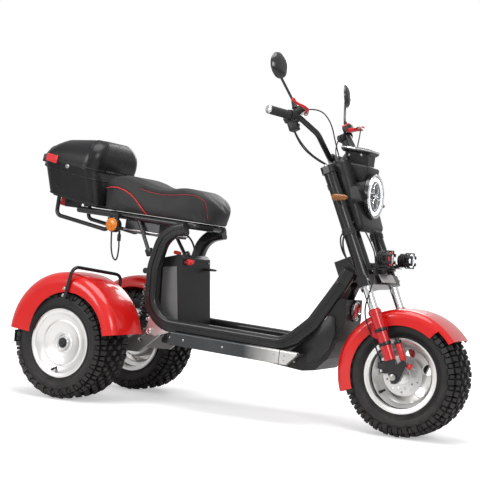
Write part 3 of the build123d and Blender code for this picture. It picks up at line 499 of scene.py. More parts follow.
# ---- Rims -----------------------------------------------------------------------------------
# Aluminium rims, cast and then turned bright on a lathe, so fine rings run round them. The rear
# wheels are hub motors with a stepped, spun dish, a steel collar and a rubber cap over the axle
# nut. Each wheel has a rubber valve.
RINGS, given, put = effect(
    "turned_rings",
    [("Place", "Vector", (0, 0, 0)), ("Rings", "Float", 500), ("Depth", "Float", 0.5)],
    [("Height", "Float"), ("Shade", "Float")],
)
parted = add_node(RINGS, "SeparateXYZ")
RINGS.links.new(given.outputs["Place"], parted.inputs[0])
out = sum_node(RINGS, "ADD", sum_node(RINGS, "POWER", parted.outputs["X"], 2.0),
               sum_node(RINGS, "POWER", parted.outputs["Z"], 2.0))
out = sum_node(RINGS, "SQRT", out, 0.0)
fine = add_node(RINGS, "TexNoise", noise_dimensions="1D", Detail=4.0)
RINGS.links.new(sum_node(RINGS, "MULTIPLY", out, given.outputs["Rings"]), fine.inputs["W"])
RINGS.links.new(sum_node(RINGS, "MULTIPLY", fine.outputs[0], given.outputs["Depth"]), put.inputs["Height"])
broad = add_node(RINGS, "TexNoise", noise_dimensions="1D", Scale=0.12, Detail=2.0)
RINGS.links.new(sum_node(RINGS, "MULTIPLY", out, given.outputs["Rings"]), broad.inputs["W"])
RINGS.links.new(broad.outputs[0], put.inputs["Shade"])


def lathe_turned(name, centre, colour, roughness=0.2, rings=700, depth=0.5):
    """Bright metal with turning rings about an axle through a point."""
    material = finish_of(name, colour, [0.8 * part for part in colour], roughness, grain=250, relief=0.03,
                         wear=0.25, vary=0.2, metallic=1.0)
    tree = material.node_tree
    shader = tree.nodes["Principled BSDF"]
    place = add_node(tree, "TexCoord").outputs["Object"]
    centred = add_node(tree, "Mapping")
    centred.inputs["Location"].default_value = [-part for part in centre]
    tree.links.new(place, centred.inputs["Vector"])
    turned = add_node(tree, "Group", node_tree=RINGS)
    turned.inputs["Rings"].default_value = rings
    turned.inputs["Depth"].default_value = depth
    tree.links.new(centred.outputs[0], turned.inputs["Place"])
    bump = add_node(tree, "Bump", Strength=0.35, Distance=0.0003)
    tree.links.new(turned.outputs["Height"], bump.inputs["Height"])
    tree.links.new(bump.outputs[0], shader.inputs["Normal"])
    polish = sum_node(tree, "MULTIPLY", turned.outputs["Shade"], 0.18)
    tree.links.new(sum_node(tree, "ADD", polish, roughness - 0.08), shader.inputs["Roughness"])
    return material


BRIGHT = (0.90, 0.89, 0.87)
for node, centre in (("rear_rim_left", left_axle), ("rear_rim_right", right_axle), ("front_rim", front_axle)):
    dress(node, lathe_turned(node + "_polish", centre, BRIGHT, 0.31))
face_line = [(127.6, 82), (124, 79), (112, 71), (98, 66), (92, 65.4), (90, 66.6), (86, 66.6), (84, 65),
             (60, 60), (44, 57.5), (42, 59.5), (36, 60), (34, 58), (27, 53), (27, 48)]
right_dish = pair(wheel_turned(face_line, 96), "left_wheel_dish", bpy.data.materials["rear_rim_left_polish"],
                  "rear_wheel_left", "polished_alloy", 40, "rear_wheel_right")
right_dish.data.materials.clear()
right_dish.data.materials.append(bpy.data.materials["rear_rim_right_polish"])
cap_rubber = finish_of("cap_rubber", (0.02, 0.02, 0.021), roughness=0.42, grain=800)
steel_bright = finish_of("steel_bright", (0.72, 0.72, 0.73), (0.5, 0.5, 0.5), 0.24, 500, 0.04, 0.3, 0.2,
                         metallic=1.0)
cap_line = [(0, 72), (6, 72), (12, 70), (16, 66), (18, 61), (18.5, 46), (0, 46)]
pair(wheel_turned(cap_line, 40), "left_axle_cap", cap_rubber, "rear_wheel_left", "rubber",
     far_body="rear_wheel_right")
ring_line = [(19, 46), (19, 60), (21, 62), (26, 62), (28, 60), (28, 50)]
pair(wheel_turned(ring_line, 40), "left_hub_collar", steel_bright, "rear_wheel_left", "polished_alloy",
     far_body="rear_wheel_right")


def valve(name, centre, side, radius, across, angle, body):
    """A rubber valve stem with a ribbed cap, standing out of the rim's dish."""
    clear_choice()
    bpy.ops.mesh.primitive_cylinder_add(vertices=20, radius=0.0044, depth=0.02)
    stem = bpy.context.object
    bpy.ops.mesh.primitive_cylinder_add(vertices=14, radius=0.0056, depth=0.012, location=(0, 0, 0.015))
    piece = joined(stem, bpy.context.object)
    lean = Matrix.Rotation(side * radians(-90), 4, "X") @ Matrix.Rotation(radians(16), 4, "Y")
    spin = Matrix.Rotation(radians(angle), 4, "Y")
    out = Matrix.Translation((radius, side * across, 0))
    piece.matrix_world = Matrix.Translation(centre) @ spin @ out @ lean
    return settle(piece, name, cap_rubber, body, "rubber")


valve("right_rear_valve", right_axle, -1, 0.105, 0.074, 100, "rear_wheel_right")
valve("left_rear_valve", left_axle, 1, 0.105, 0.074, 70, "rear_wheel_left")
valve("front_valve", front_axle, -1, 0.104, 0.03, 140, "front_wheel")

# ---- Mudguards ------------------------------------------------------------------------------
# Gloss red mouldings with a clear coat, their edges rolled. Each rear one is bolted through its
# skirts to a bent tube hoop, and has a black rubber flap bolted behind it.
GLOSS_RED = (0.70, 0.006, 0.005)
gloss_red = finish_of("mudguard_red", GLOSS_RED, (0.76, 0.02, 0.02), 0.3, 60, 0.06, 0.12, 0.1, dust=0.05,
                      dust_top=0.35, coat=0.7)
dress("rear_fenders", gloss_red)
dress("front_fender", gloss_red)
frame_black = finish_of("frame_black", (0.012, 0.012, 0.013), (0.045, 0.045, 0.05), 0.3, 340, 0.12, 0.22,
                        0.25, dust=0.05, metallic=0.2, coat=0.35)
dress("fender_hoops", frame_black)


def faces_picked(piece, wanted):
    """Go into edit mode with only the faces chosen whose normal's upward part is wanted."""
    bpy.ops.object.mode_set(mode="EDIT")
    bpy.ops.mesh.select_all(action="DESELECT")
    bpy.ops.object.mode_set(mode="OBJECT")
    for face in piece.data.polygons:
        face.select = wanted(face.normal.z)
    bpy.ops.object.mode_set(mode="EDIT")


def screw(place, face, radius=0.006, tall=0.004):
    """A screw head with a hexagon socket, lying on a face that points along a direction."""
    clear_choice()
    bpy.ops.mesh.primitive_cylinder_add(vertices=20, radius=radius, depth=tall, location=(0, 0, tall / 2))
    bolt = bpy.context.object
    faces_picked(bolt, lambda up: up > 0.9)
    bpy.ops.mesh.bevel(offset=radius * 0.35, segments=2)
    bpy.ops.mesh.inset(thickness=radius * 0.25)
    bpy.ops.transform.translate(value=(0, 0, -tall * 0.45))
    bpy.ops.object.mode_set(mode="OBJECT")
    facing = Vector(face).to_track_quat("Z", "Y").to_matrix().to_4x4()
    bolt.matrix_world = Matrix.Translation(place) @ facing
    return bedded(bolt)


def block(place, size, edge=0.002, turn=0.0, taper=1.0, steps=3):
    """A small moulded block with rounded edges, its top narrowed where it has draft."""
    clear_choice()
    bpy.ops.mesh.primitive_cube_add(size=1)
    piece = bpy.context.object
    piece.scale = size
    bedded(piece)
    if taper != 1:
        for point in piece.data.vertices:
            point.select = point.co.z > 0
        for side in piece.data.polygons:
            side.select = side.center.z > 0.4 * size[2]
        bpy.ops.object.mode_set(mode="EDIT")
        bpy.ops.transform.resize(value=(taper, taper, 1))
        bpy.ops.object.mode_set(mode="OBJECT")
    bpy.ops.object.mode_set(mode="EDIT")
    bpy.ops.mesh.select_all(action="SELECT")
    bpy.ops.mesh.bevel(offset=edge, segments=steps)
    bpy.ops.object.mode_set(mode="OBJECT")
    piece.data.transform(Matrix.Translation(place) @ Matrix.Rotation(radians(turn), 4, "Y"))
    return piece


bolt_zinc = finish_of("bolt_zinc", (0.45, 0.44, 0.42), (0.3, 0.28, 0.25), 0.35, 700, 0.1, 0.4, 0.3,
                      metallic=1.0)
guard_bolts = joined(*[screw(spot(x, 383.4, z), (0, 1, 0), 0.0065, 0.005) for x, z in ((30, 452), (26, 424))],
                     *[screw(spot(x, 146.4, z), (0, -1, 0), 0.0065, 0.005)
                       for x, z in ((70, 470), (66, 446))])
pair(guard_bolts, "left_guard_bolts", bolt_zinc, "frame", "steel")
flap = block(spot(-236, 265, 236), (0.004, 0.16, 0.05), 0.0014, steps=2)
pair(flap, "left_mud_flap", cap_rubber, "frame", "rubber")

# ---- Frame ----------------------------------------------------------------------------------
# Two pressed steel box beams, welded to the steering head and the seat frame, all in satin black
# powder paint. The pivot plates and swinging arms behind them are bare, brushed alloy.
for node in ("frame_loop_left", "frame_loop_right", "head_tube", "seat_rails", "case_rack", "shock_crossbar"):
    dress(node, frame_black)
alloy_satin = finish_of("alloy_satin", (0.62, 0.61, 0.6), (0.4, 0.39, 0.37), 0.34, 180, 0.1, 0.35, 0.3,
                        dust=0.35, dust_top=0.4, metallic=0.9)
dress("arm_pivot", alloy_satin)
dress("trailing_arms", alloy_satin)
bolts = joined(screw(spot(314, 174, 302), (0, 1, 0), 0.011, 0.008),
               screw(spot(372, 164.5, 316), (0, 1, 0), 0.007, 0.006),
               screw(spot(300, 164.5, 350), (0, 1, 0), 0.006, 0.006))
pair(bolts, "left_pivot_bolts", steel_bright, "frame", "steel")

# ---- Floor ----------------------------------------------------------------------------------
# A ribbed floor plate in dark rubber-coated steel. Its edge rails are dark anodised alloy extrusions,
# each with an end cap at the front and flush screws along it; their front part and cap are painted
# light over a soft blend, a painted highlight.
floor_black = finish_of("floor_black", (0.018, 0.018, 0.019), (0.07, 0.067, 0.064), 0.55, 260, 0.35, 0.4, 0.3,
                        dust=0.3)
dress("footboard", floor_black)


def two_tone(name, axis, edge, first, second, folded=False, blend=0.0003, **rest):
    """A finish whose colour changes at a place along an axis, such as at a cap or a panel, or softly where a
    painted highlight is laid.
    """
    material = finish_of(name, first, **rest)
    tree = material.node_tree
    place = add_node(tree, "TexCoord").outputs["Object"]
    parted = add_node(tree, "SeparateXYZ")
    tree.links.new(place, parted.inputs[0])
    along = parted.outputs[axis]
    if folded:
        along = sum_node(tree, "ABSOLUTE", along, 0.0)
    step = add_node(tree, "MapRange", From_Min=edge - blend, From_Max=edge + blend)
    tree.links.new(along, step.inputs["Value"])
    patchy = add_node(tree, "TexNoise", Scale=9.0, Detail=5.0)
    tree.links.new(place, patchy.inputs["Vector"])
    tones = add_node(tree, "ValToRGB")
    tones.color_ramp.elements[0].position = 0.3
    tones.color_ramp.elements[0].color = (*[part * 0.82 for part in second], 1)
    tones.color_ramp.elements[1].position = 0.7
    tones.color_ramp.elements[1].color = (*second, 1)
    tree.links.new(patchy.outputs[0], tones.inputs[0])
    shader = tree.nodes["Principled BSDF"]
    under = shader.inputs["Base Color"].links[0].from_socket
    tree.links.new(mix_colour(tree, step.outputs[0], under, tones.outputs[0]), shader.inputs["Base Color"])
    return material


# painted highlight: each rail goes from dark to light over a soft blend about 845 mm ahead of the rear axle
dress("side_rails", two_tone("rail_anodised_painted_highlight", "X", spot(845, 0, 0).x, (0.055, 0.058, 0.062),
                             (0.72, 0.71, 0.69), blend=0.075, roughness=0.3, grain=160, relief=0.1, wear=0.3,
                             vary=0.3, dust=0.08, metallic=0.85))
FLOOR = Matrix.Translation(spot(440, 0, 302.7)) @ Matrix.Rotation(radians(3.1), 4, "Y")
rail_screws = [screw(FLOOR @ Vector((x / 1000, 0.2094, z / 1000)), (0, 1, 0), 0.0055, 0.003)
               for x, z in ((60, -18), (238, -18), (462, -10), (505, -10), (505, -28))]
pair(joined(*rail_screws), "left_rail_screws", bolt_zinc, "frame", "steel")
joint_strip = block(FLOOR @ Vector((0.485, 0.1974, -0.018)), (0.003, 0.0252, 0.0552), 0.0006, 3.1, steps=1)
pair(joint_strip, "left_rail_joint", cap_rubber, "frame", "rubber")

# ---- Lower cover and horn -------------------------------------------------------------------
# Moulded black plastic with a fine pebble, screwed on. A mesh vent is let into each side of its
# nose, and the horn's chromed trumpet rim with its red diaphragm sits in the middle.
moulded_black = finish_of("moulded_black", (0.013, 0.013, 0.014), (0.05, 0.05, 0.053), 0.36, 520, 0.4, 0.25,
                          0.2, dust=0.15)
dress("belly_cover", moulded_black)
cover_screws = [screw(spot(x, 118.2, z), (0, 1, 0), 0.006, 0.003)
                for x, z in ((700, 252), (880, 252), (945, 240))]
pair(joined(*cover_screws), "left_cover_screws", bolt_zinc, "frame", "steel")
clear_choice()
bpy.ops.mesh.primitive_grid_add(x_subdivisions=14, y_subdivisions=9, size=1)
vent = bpy.context.object
vent.scale = (0.070, 0.042, 1)
bedded(vent)
bpy.ops.object.mode_set(mode="EDIT")
bpy.ops.mesh.select_all(action="SELECT")
bpy.ops.mesh.inset(thickness=0.0012, use_individual=True)
bpy.ops.mesh.delete(type="FACE")
bpy.ops.object.mode_set(mode="OBJECT")
worked(vent, "SOLIDIFY", thickness=0.003)
vent.data.transform(Matrix.Translation(spot(1088, 98, 372)) @ Matrix.Rotation(radians(-16), 4, "Z")
                    @ Matrix.Rotation(radians(62), 4, "Y") @ Matrix.Rotation(radians(90), 4, "X"))
pair(vent, "left_vent_mesh", frame_black, "frame", "black_plastic")
chrome = finish_of("chrome", (0.86, 0.86, 0.87), (0.7, 0.7, 0.72), 0.08, 300, 0.02, 0.2, 0.06, metallic=1.0)
dress("horn", chrome)
red_enamel = finish_of("red_enamel", (0.58, 0.008, 0.012), (0.66, 0.04, 0.04), 0.28, 300, 0.05, 0.3, 0.15,
                       coat=0.6)
horn_line = [(0, 1137.5), (10, 1137.5), (12, 1136), (20, 1139), (24, 1141), (26, 1140), (26, 1136)]
diaphragm = spun([spot(x, 0, 448 + r) for r, x in horn_line], spot(1137, 0, 448), (1, 0, 0), 40)
settle(diaphragm, "horn_diaphragm", red_enamel, "frame", "chrome")

# ---- Rear suspension ------------------------------------------------------------------------
# A spring and damper unit on each arm: black coil spring round a bright damper rod, held between
# two plates. The coil is one steel bar wound in seven turns.
spring_black = finish_of("spring_black", (0.02, 0.02, 0.021), (0.08, 0.08, 0.08), 0.4, 400, 0.15, 0.4, 0.3,
                         dust=0.2)
foot, head = spot(222, 104.7, 248), spot(268.7, 104.7, 545)
stand = Matrix.Translation(foot) @ (head - foot).to_track_quat("Z", "Y").to_matrix().to_4x4()
damper_line = [(0, 0.006), (0.009, 0.008), (0.009, 0.058), (0.019, 0.062), (0.019, 0.084), (0.026, 0.086),
               (0.026, 0.092), (0.0105, 0.094), (0.0105, 0.15), (0.006, 0.152), (0.006, 0.232),
               (0.024, 0.234), (0.024, 0.242), (0.012, 0.248), (0.008, 0.285), (0, 0.287)]
damper = spun([Vector((r, 0, z)) for r, z in damper_line], (0, 0, 0), (0, 0, 1), 32)
clear_choice()
bpy.ops.mesh.primitive_circle_add(vertices=12, radius=0.0042, location=(0.0205, 0, 0.097),
                                  rotation=(pi / 2, 0, 0))
coil = bedded(bpy.context.object)
TURNS = 7
worked(coil, "SCREW", angle=TURNS * tau, screw_offset=0.133, steps=24 * TURNS, render_steps=24 * TURNS,
       use_smooth_shade=True)
bpy.ops.object.mode_set(mode="EDIT")
bpy.ops.mesh.select_all(action="SELECT")
bpy.ops.mesh.normals_make_consistent(inside=False)
bpy.ops.object.mode_set(mode="OBJECT")
eyes = []
for up, radius in ((0, 0.014), (0.3006, 0.019)):
    clear_choice()
    bpy.ops.mesh.primitive_cylinder_add(vertices=32, radius=radius, depth=0.0196, location=(0, 0, up),
                                        rotation=(pi / 2, 0, 0))
    eye = bedded(bpy.context.object)
    bpy.ops.object.mode_set(mode="EDIT")
    bpy.ops.mesh.bevel(offset=0.0012, segments=2)
    bpy.ops.object.mode_set(mode="OBJECT")
    eyes.append(eye)
unit = joined(damper, coil, *eyes)
unit.data.transform(stand)
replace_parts(pair(unit, "left_spring_unit", spring_black, "frame", "frame_paint"), "rear_shocks")
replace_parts(unit, "rear_shocks")

# ---- Battery --------------------------------------------------------------------------------
# A lift-out battery: a folded black steel box with brushed side panels. On its sloped front it has
# a red socket boot for the lead, a red catch and four screws.
dress("battery_case", two_tone("battery_shell", "Y", 0.1146, (0.013, 0.013, 0.014), (0.19, 0.19, 0.195),
                               folded=True, roughness=0.4, grain=420, relief=0.18, wear=0.3, vary=0.25,
                               metallic=0.4))
red_plug = finish_of("red_plug", (0.72, 0.02, 0.02), (0.8, 0.2, 0.18), 0.38, 500, 0.1, 0.3, 0.15)


boot = joined(block(spot(424, -76, 592), (0.024, 0.022, 0.024), 0.005),
              block(spot(438, -76, 594), (0.012, 0.016, 0.016), 0.003))
settle(boot, "lead_boot", red_plug, "frame", "red_paint")
catch = block(spot(376, -96, 627), (0.024, 0.026, 0.014), 0.003, 12)
settle(catch, "battery_catch", red_plug, "frame", "red_paint")
lid_screws = [screw(FLOOR @ Vector((-0.0375 - z * 0.134, y / 1000, 0.299 - z)), (1, 0, 0.14), 0.004, 0.003)
              for y in (-98, 98) for z in (0.012, 0.24)]
settle(joined(*lid_screws), "battery_screws", bolt_zinc, "frame", "steel")

# ---- Under-seat housing, rack lamps ---------------------------------------------------------
# The controller sits in a cast grey housing below the seat, under a bright alloy lid edge. Round
# amber turn signals stand each side of the rack, and a red tail lamp is under its rear edge.
dress("under_seat_box", finish_of("cast_grey", (0.085, 0.088, 0.095), (0.16, 0.16, 0.165), 0.34, 300, 0.3,
                                  0.3, 0.3, dust=0.1, dust_top=1.5, metallic=0.7))
housing_edge = block(spot(205, 0, 706.5), (0.176, 0.250, 0.006), 0.002, 5)
settle(housing_edge, "housing_edge", alloy_satin, "frame", "steel")
dress("rear_signals", moulded_black)


def clear_plastic(name, colour, see_through, roughness=0.12):
    """A tinted lamp plastic: see-through, with fine moulded ripples."""
    material = finish_of(name, colour, [min(1, part * 1.2) for part in colour], roughness, 240, 0.3, 0.1,
                         0.12)
    shader = material.node_tree.nodes["Principled BSDF"]
    shader.inputs["Transmission Weight"].default_value = see_through
    shader.inputs["Coat Weight"].default_value = 0.5
    return material


amber = clear_plastic("amber_lens", (0.95, 0.27, 0.01), 0.25)
lens_line = [(0, 202), (10, 201.6), (11, 200.4), (18, 199.6), (19, 198.4), (25, 196.6), (27.5, 194),
             (28, 191)]
rear_lens = spun([spot(104, y, 726 + r) for r, y in lens_line], spot(104, 196, 726), (0, 1, 0), 40)
pair(rear_lens, "left_rear_lens", amber, "frame", "amber")
dress("tail_light", two_tone("tail_lamp", "X", spot(-246, 0, 0).x, (0.30, 0.006, 0.008),
                             (0.012, 0.012, 0.013), roughness=0.2))

# ---- Seat -----------------------------------------------------------------------------------
# Foam on a pressed pan, under a grained black cover that is pulled tight and sewn: red piping
# sweeps down each side behind the driver, and a line of red stitches edges the front place.
LEATHER, given, put = effect(
    "cover_grain", [("Size", "Float", 380), ("Depth", "Float", 0.5)],
                             [("Height", "Float"), ("Shade", "Float")])
where = add_node(LEATHER, "TexCoord").outputs["Object"]
cells = add_node(LEATHER, "TexVoronoi", feature="DISTANCE_TO_EDGE")
LEATHER.links.new(where, cells.inputs["Vector"])
LEATHER.links.new(given.outputs["Size"], cells.inputs["Scale"])
pebble = add_node(LEATHER, "MapRange", From_Min=0.0, From_Max=0.25)
LEATHER.links.new(cells.outputs["Distance"], pebble.inputs["Value"])
LEATHER.links.new(sum_node(LEATHER, "MULTIPLY", pebble.outputs[0], given.outputs["Depth"]),
                  put.inputs["Height"])
LEATHER.links.new(pebble.outputs[0], put.inputs["Shade"])
seat_cover = finish_of("seat_cover", (0.020, 0.0195, 0.0195), (0.045, 0.044, 0.044), 0.55, 90, 0.1, 0.15,
                       0.35, sheen=0.03)
tree = seat_cover.node_tree
grain = add_node(tree, "Group", node_tree=LEATHER)
bump = add_node(tree, "Bump", Strength=0.35, Distance=0.0005)
tree.links.new(grain.outputs["Height"], bump.inputs["Height"])
tree.links.new(bump.outputs[0], tree.nodes["Principled BSDF"].inputs["Normal"])

clear_choice()
saddle = bpy.data.objects.new("saddle", cad["seat"].data.copy())
scene.collection.objects.link(saddle)
saddle.data.materials.clear()
choose(saddle)
bpy.ops.object.mode_set(mode="EDIT")
bpy.ops.mesh.select_all(action="SELECT")
bpy.ops.mesh.remove_doubles(threshold=0.0001)
bpy.ops.object.mode_set(mode="OBJECT")
middle = spot(276, 0, 840)
shrunk = Matrix.Diagonal((0.985, 0.955, 0.97, 1))
saddle.data.transform(Matrix.Translation(middle) @ shrunk @ Matrix.Translation(-middle))
worked(saddle, "REMESH", mode="VOXEL", voxel_size=0.006)
worked(saddle, "SMOOTH", iterations=5)
for point in saddle.data.vertices:
    ahead = min(1, max(0, (point.co.x - spot(430, 0, 0).x) / 0.115))
    under = min(1, max(0, (spot(0, 0, 815).z - point.co.z) / 0.07))
    above = min(1, max(0, (point.co.z - spot(0, 0, 812).z) / 0.06))
    point.co.x -= 0.030 * ahead ** 2 * under ** 1.5 + 0.016 * ahead ** 2 * above ** 2
    point.co.z -= 0.007 * ahead ** 3 * above
# the foam is blown up a little inside its cover, and no point may swell past the limit
SWELL_STEPS, SWELL_LIMIT = 20, 0.008
before = [point.co.copy() for point in saddle.data.vertices]
pan = saddle.vertex_groups.new(name="pan")
pan.add([point.index for point in saddle.data.vertices
         if point.normal.z < -0.8 or point.normal.x < -0.9], 1.0, "REPLACE")
stuff = saddle.modifiers.new("stuff", "CLOTH")
stuff.settings.use_pressure = True
stuff.settings.uniform_pressure_force = 4
stuff.settings.effector_weights.gravity = 0
stuff.settings.vertex_group_mass = "pan"
stuff.settings.quality = 6
stuff.point_cache.frame_start = 1
stuff.point_cache.frame_end = SWELL_STEPS
for step in range(1, SWELL_STEPS + 1):
    scene.frame_set(step)
choose(saddle)
bpy.ops.object.modifier_apply(modifier=stuff.name)
scene.frame_set(1)
for point, old in zip(saddle.data.vertices, before):
    moved = point.co - old
    if moved.length > SWELL_LIMIT:
        point.co = old + moved.normalized() * SWELL_LIMIT
worked(saddle, "SMOOTH", iterations=3)
worked(saddle, "SUBSURF", levels=1, render_levels=1)


def skin_of(piece):
    """A piece's surface, for laying lines onto it."""
    return BVHTree.FromPolygons([point.co for point in piece.data.vertices],
                                [list(face.vertices) for face in piece.data.polygons])


skin = skin_of(saddle)


def laid_line(surface, points, towards, lift, spacing=0.004):
    """Points along a line, pressed onto a surface from outside it."""
    laid = []
    for start, end in zip(points, points[1:]):
        count = max(1, round((end - start).length / spacing))
        laid += [start.lerp(end, index / count) for index in range(count)]
    laid.append(points[-1])
    found = []
    for place in laid:
        way = towards(place) if callable(towards) else Vector(towards)
        hit, normal, _, _ = surface.ray_cast(place - way * 0.4, way)
        if hit is not None:
            found.append((hit + normal * lift, normal))
    return found


def cording(name, found, radius, material, body, slot):
    """A smooth round cord sewn or moulded along the found points, made a mesh."""
    tube = drawn_line(name, [place for place, normal in found], radius, 4, 2, 2)
    choose(tube)
    bpy.ops.object.convert(target="MESH")
    return settle(bpy.context.object, name, material, body, slot)


thread_red = finish_of("thread_red", (0.62, 0.012, 0.014), (0.7, 0.1, 0.1), 0.45, 1500, 0.3, 0.2, 0.2,
                       sheen=0.2)
piping_way = [(4, 884), (46, 887), (88, 885), (124, 874), (152, 860), (180, 838), (205, 812), (226, 789),
              (243, 768)]
piping_way = [spot(x, 0.0, z) for x, z in piping_way]
piping = laid_line(skin, piping_way, (0, -1, 0), 0.0006)
twin_of(cording("left_seat_piping", piping, 0.0024, thread_red, "frame", "seat_cover"), "right_seat_piping",
        "frame")
stitch_way = [(196, 884), (240, 871), (300, 862), (360, 862), (420, 866), (462, 862), (492, 842), (500, 815),
              (502, 768)]
stitches = laid_line(skin, [spot(x, 0.0, z) for x, z in stitch_way], (0, -1, 0), 0.0004, 0.001)
sewn = []
for start in range(0, len(stitches) - 7, 9):
    first, last = stitches[start][0], stitches[start + 6][0]
    bpy.ops.mesh.primitive_cylinder_add(vertices=6, radius=0.0011, depth=(last - first).length)
    stitch = bpy.context.object
    lie = (last - first).to_track_quat("Z", "Y").to_matrix().to_4x4()
    stitch.matrix_world = Matrix.Translation((first + last) / 2) @ lie
    sewn.append(bedded(stitch))
pair(joined(*sewn), "left_seat_stitches", thread_red, "frame", "seat_cover")
# the cover is drawn in along each seam
SEAM_WIDTH = 0.009
seams = KDTree(len(piping) + len(stitches))
for index, (place, normal) in enumerate(piping + stitches):
    seams.insert(place, index)
seams.balance()
for point in saddle.data.vertices:
    near = seams.find((point.co.x, abs(point.co.y), point.co.z))[2]
    if near < SEAM_WIDTH:
        point.co -= point.normal * 0.002 * (1 - near / SEAM_WIDTH) ** 0.7
settle(saddle, "saddle_cushion", seat_cover, "frame", "seat_cover", 60)
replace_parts(saddle, "seat")
clear_choice()

# ---- Top case -------------------------------------------------------------------------------
# Two vacuum-formed halves in pebbled black plastic. A dark rubber bead in the seam stands for the
# seam's shadow line, painted shade; beads run round the base and ribs over the lid. It has a lock,
# and a latch and a reflector at each side.
case_black = finish_of("case_black", (0.010, 0.010, 0.011), (0.04, 0.04, 0.043), 0.27, 480, 0.3, 0.15, 0.2)
dress("case_base", case_black)
dress("case_lid", case_black)
CASE = Matrix.Translation(spot(-148, 0, 828)) @ Matrix.Rotation(radians(12), 4, "Y")


def case_bead(name, up, length, width, corner, back, radius, material):
    """A bead round the case at one height: a rounded rectangle's edge, thickened."""
    clear_choice()
    bpy.ops.mesh.primitive_plane_add(size=1)
    bead = bpy.context.object
    bead.scale = (length, width, 1)
    bedded(bead)
    bpy.ops.object.mode_set(mode="EDIT")
    bpy.ops.mesh.select_all(action="SELECT")
    bpy.ops.mesh.bevel(affect="VERTICES", offset=corner, segments=12)
    bpy.ops.mesh.delete(type="ONLY_FACE")
    bpy.ops.object.mode_set(mode="OBJECT")
    bpy.ops.object.convert(target="CURVE")
    bead = bpy.context.object
    bead.data.bevel_depth = radius
    bead.data.bevel_resolution = 2
    bpy.ops.object.convert(target="MESH")
    bead = bpy.context.object
    bead.data.transform(CASE @ Matrix.Translation((-back, 0, up)))
    return settle(bead, name, material, "frame", "black_plastic", 50)


# painted shade: a dark rubber bead laid round the lid's seam stands for the shadow in the narrow gap
case_bead("case_seam_shadow_bead", 0.1500, 0.3025, 0.3545, 0.0622, 0.052, 0.0022, cap_rubber)
case_bead("case_bead", 0.1080, 0.2930, 0.3370, 0.0570, 0.0375, 0.0026, case_black)
case_bead("case_foot_bead", 0.0040, 0.2790, 0.3010, 0.0482, 0.0014, 0.0024, case_black)
lid_skin = skin_of(cad["case_lid"])


def lid_rib(name, ahead, lean, radius):
    """A moulded rib over the lid, pressed onto it from outside in one upright plane."""
    hub = spot(ahead, 0, 985)
    arch = []
    for index in range(61):
        swing = radians(-95 + 190 * index / 60)
        way = Vector((lean * cos(swing), sin(swing), cos(swing))).normalized()
        hit, normal, _, _ = lid_skin.ray_cast(hub + way * 0.5, -way)
        if hit is not None:
            arch.append((hit, normal))
    return cording(name, arch, radius, case_black, "case_lid", "black_plastic")


lid_rib("lid_front_rib", -52, 0.0, 0.0028)
lid_rib("lid_rear_rib", -262, -0.1, 0.0024)
reflector = block((0, 0, 0), (0.066, 0.010, 0.034), 0.004)
reflector.data.transform(Matrix.Translation(spot(-243, 176.5, 1001)) @ Matrix.Rotation(radians(12), 4, "Y")
                         @ Matrix.Rotation(radians(7), 4, "Z"))
reflector_red = clear_plastic("reflector_red", (0.80, 0.03, 0.035), 0.1)
pair(reflector, "left_case_reflector", reflector_red, "case_lid", "red_lens")
latch = joined(block(spot(-307, 128, 1006), (0.018, 0.040, 0.034), 0.004, 12),
               block(spot(-302, 128, 980), (0.014, 0.026, 0.020), 0.003, 12))
pair(latch, "left_case_latch", moulded_black, "case_lid", "black_plastic")
lock = screw(spot(-161, -174.6, 968), (0, -1, 0), 0.010, 0.005)
key_slot = block(spot(-161, -179.2, 968), (0.0018, 0.0012, 0.010), 0.0002)
settle(lock, "case_lock", bolt_zinc, "frame", "steel")
settle(key_slot, "case_key_slot", cap_rubber, "frame", "rubber")

# ---- Fork -----------------------------------------------------------------------------------
# Chromed legs slide in gloss red lower legs with black clamp bands and wiper seals. Forged black
# yokes hold them. A small red damper with an adjusting knob stands ahead of each leg, and a red
# gusset ties each leg to the front mudguard.
dress("fork_stanchions", chrome)
dress("fork_sliders", red_enamel)
for node in ("fork_shrouds", "upper_clamp", "lower_clamp", "axle_brackets", "lamp_bracket", "handlebar"):
    dress(node, frame_black)
dress("front_axle", steel_bright)


def fork_ring(radius, low, high, ahead=42, edge=0.0012, steps=40, side=0.145):
    """A band round a fork leg between two heights, its edges broken."""
    clear_choice()
    bpy.ops.mesh.primitive_cylinder_add(vertices=steps, radius=radius / 1000, depth=(high - low) / 1000,
                                        location=(ahead / 1000, side, (low + high) / 2000))
    band = bedded(bpy.context.object)
    faces_picked(band, lambda up: abs(up) > 0.9)
    bpy.ops.mesh.bevel(offset=edge, segments=2)
    bpy.ops.object.mode_set(mode="OBJECT")
    return band


def on_fork(piece, name, material, slot, angle=32):
    """Set a piece drawn on the fork's axes in its place, and its twin on the right."""
    piece.data.transform(FORK)
    return pair(piece, name, material, "steering", slot, angle)


bands = [fork_ring(23.5, low, low + 13) for low in (117, 170)]
bands += [block(Vector((0.042, 0.169, low / 1000)), (0.018, 0.014, 0.011), 0.002) for low in (123.5, 176.5)]
on_fork(joined(*bands), "left_fork_bands", frame_black, "frame_paint")
sleeves = [fork_ring(22.6, 238, 252), fork_ring(20, 252, 258), fork_ring(11.7, 46, 109, 90)]
sleeves += [fork_ring(12.6, low, low + 4, 90) for low in (60, 74, 88)]
knob = fork_ring(9.2, -9.5, 9.5, 0, 0.002, 12, 0)
knob.data.transform(Matrix.Translation((0.104, 0.145, 0.018)) @ Matrix.Rotation(radians(70), 4, "Y"))
on_fork(joined(*sleeves, knob), "left_damper_sleeve", red_enamel, "red_metal")
on_fork(joined(fork_ring(8, 109, 132, 90), fork_ring(14, 110, 121.5, 90)), "left_damper_cap", frame_black,
        "frame_paint")
nut = screw(Vector((0.036, 0.167, 0)), (0, 1, 0), 0.012, 0.008)
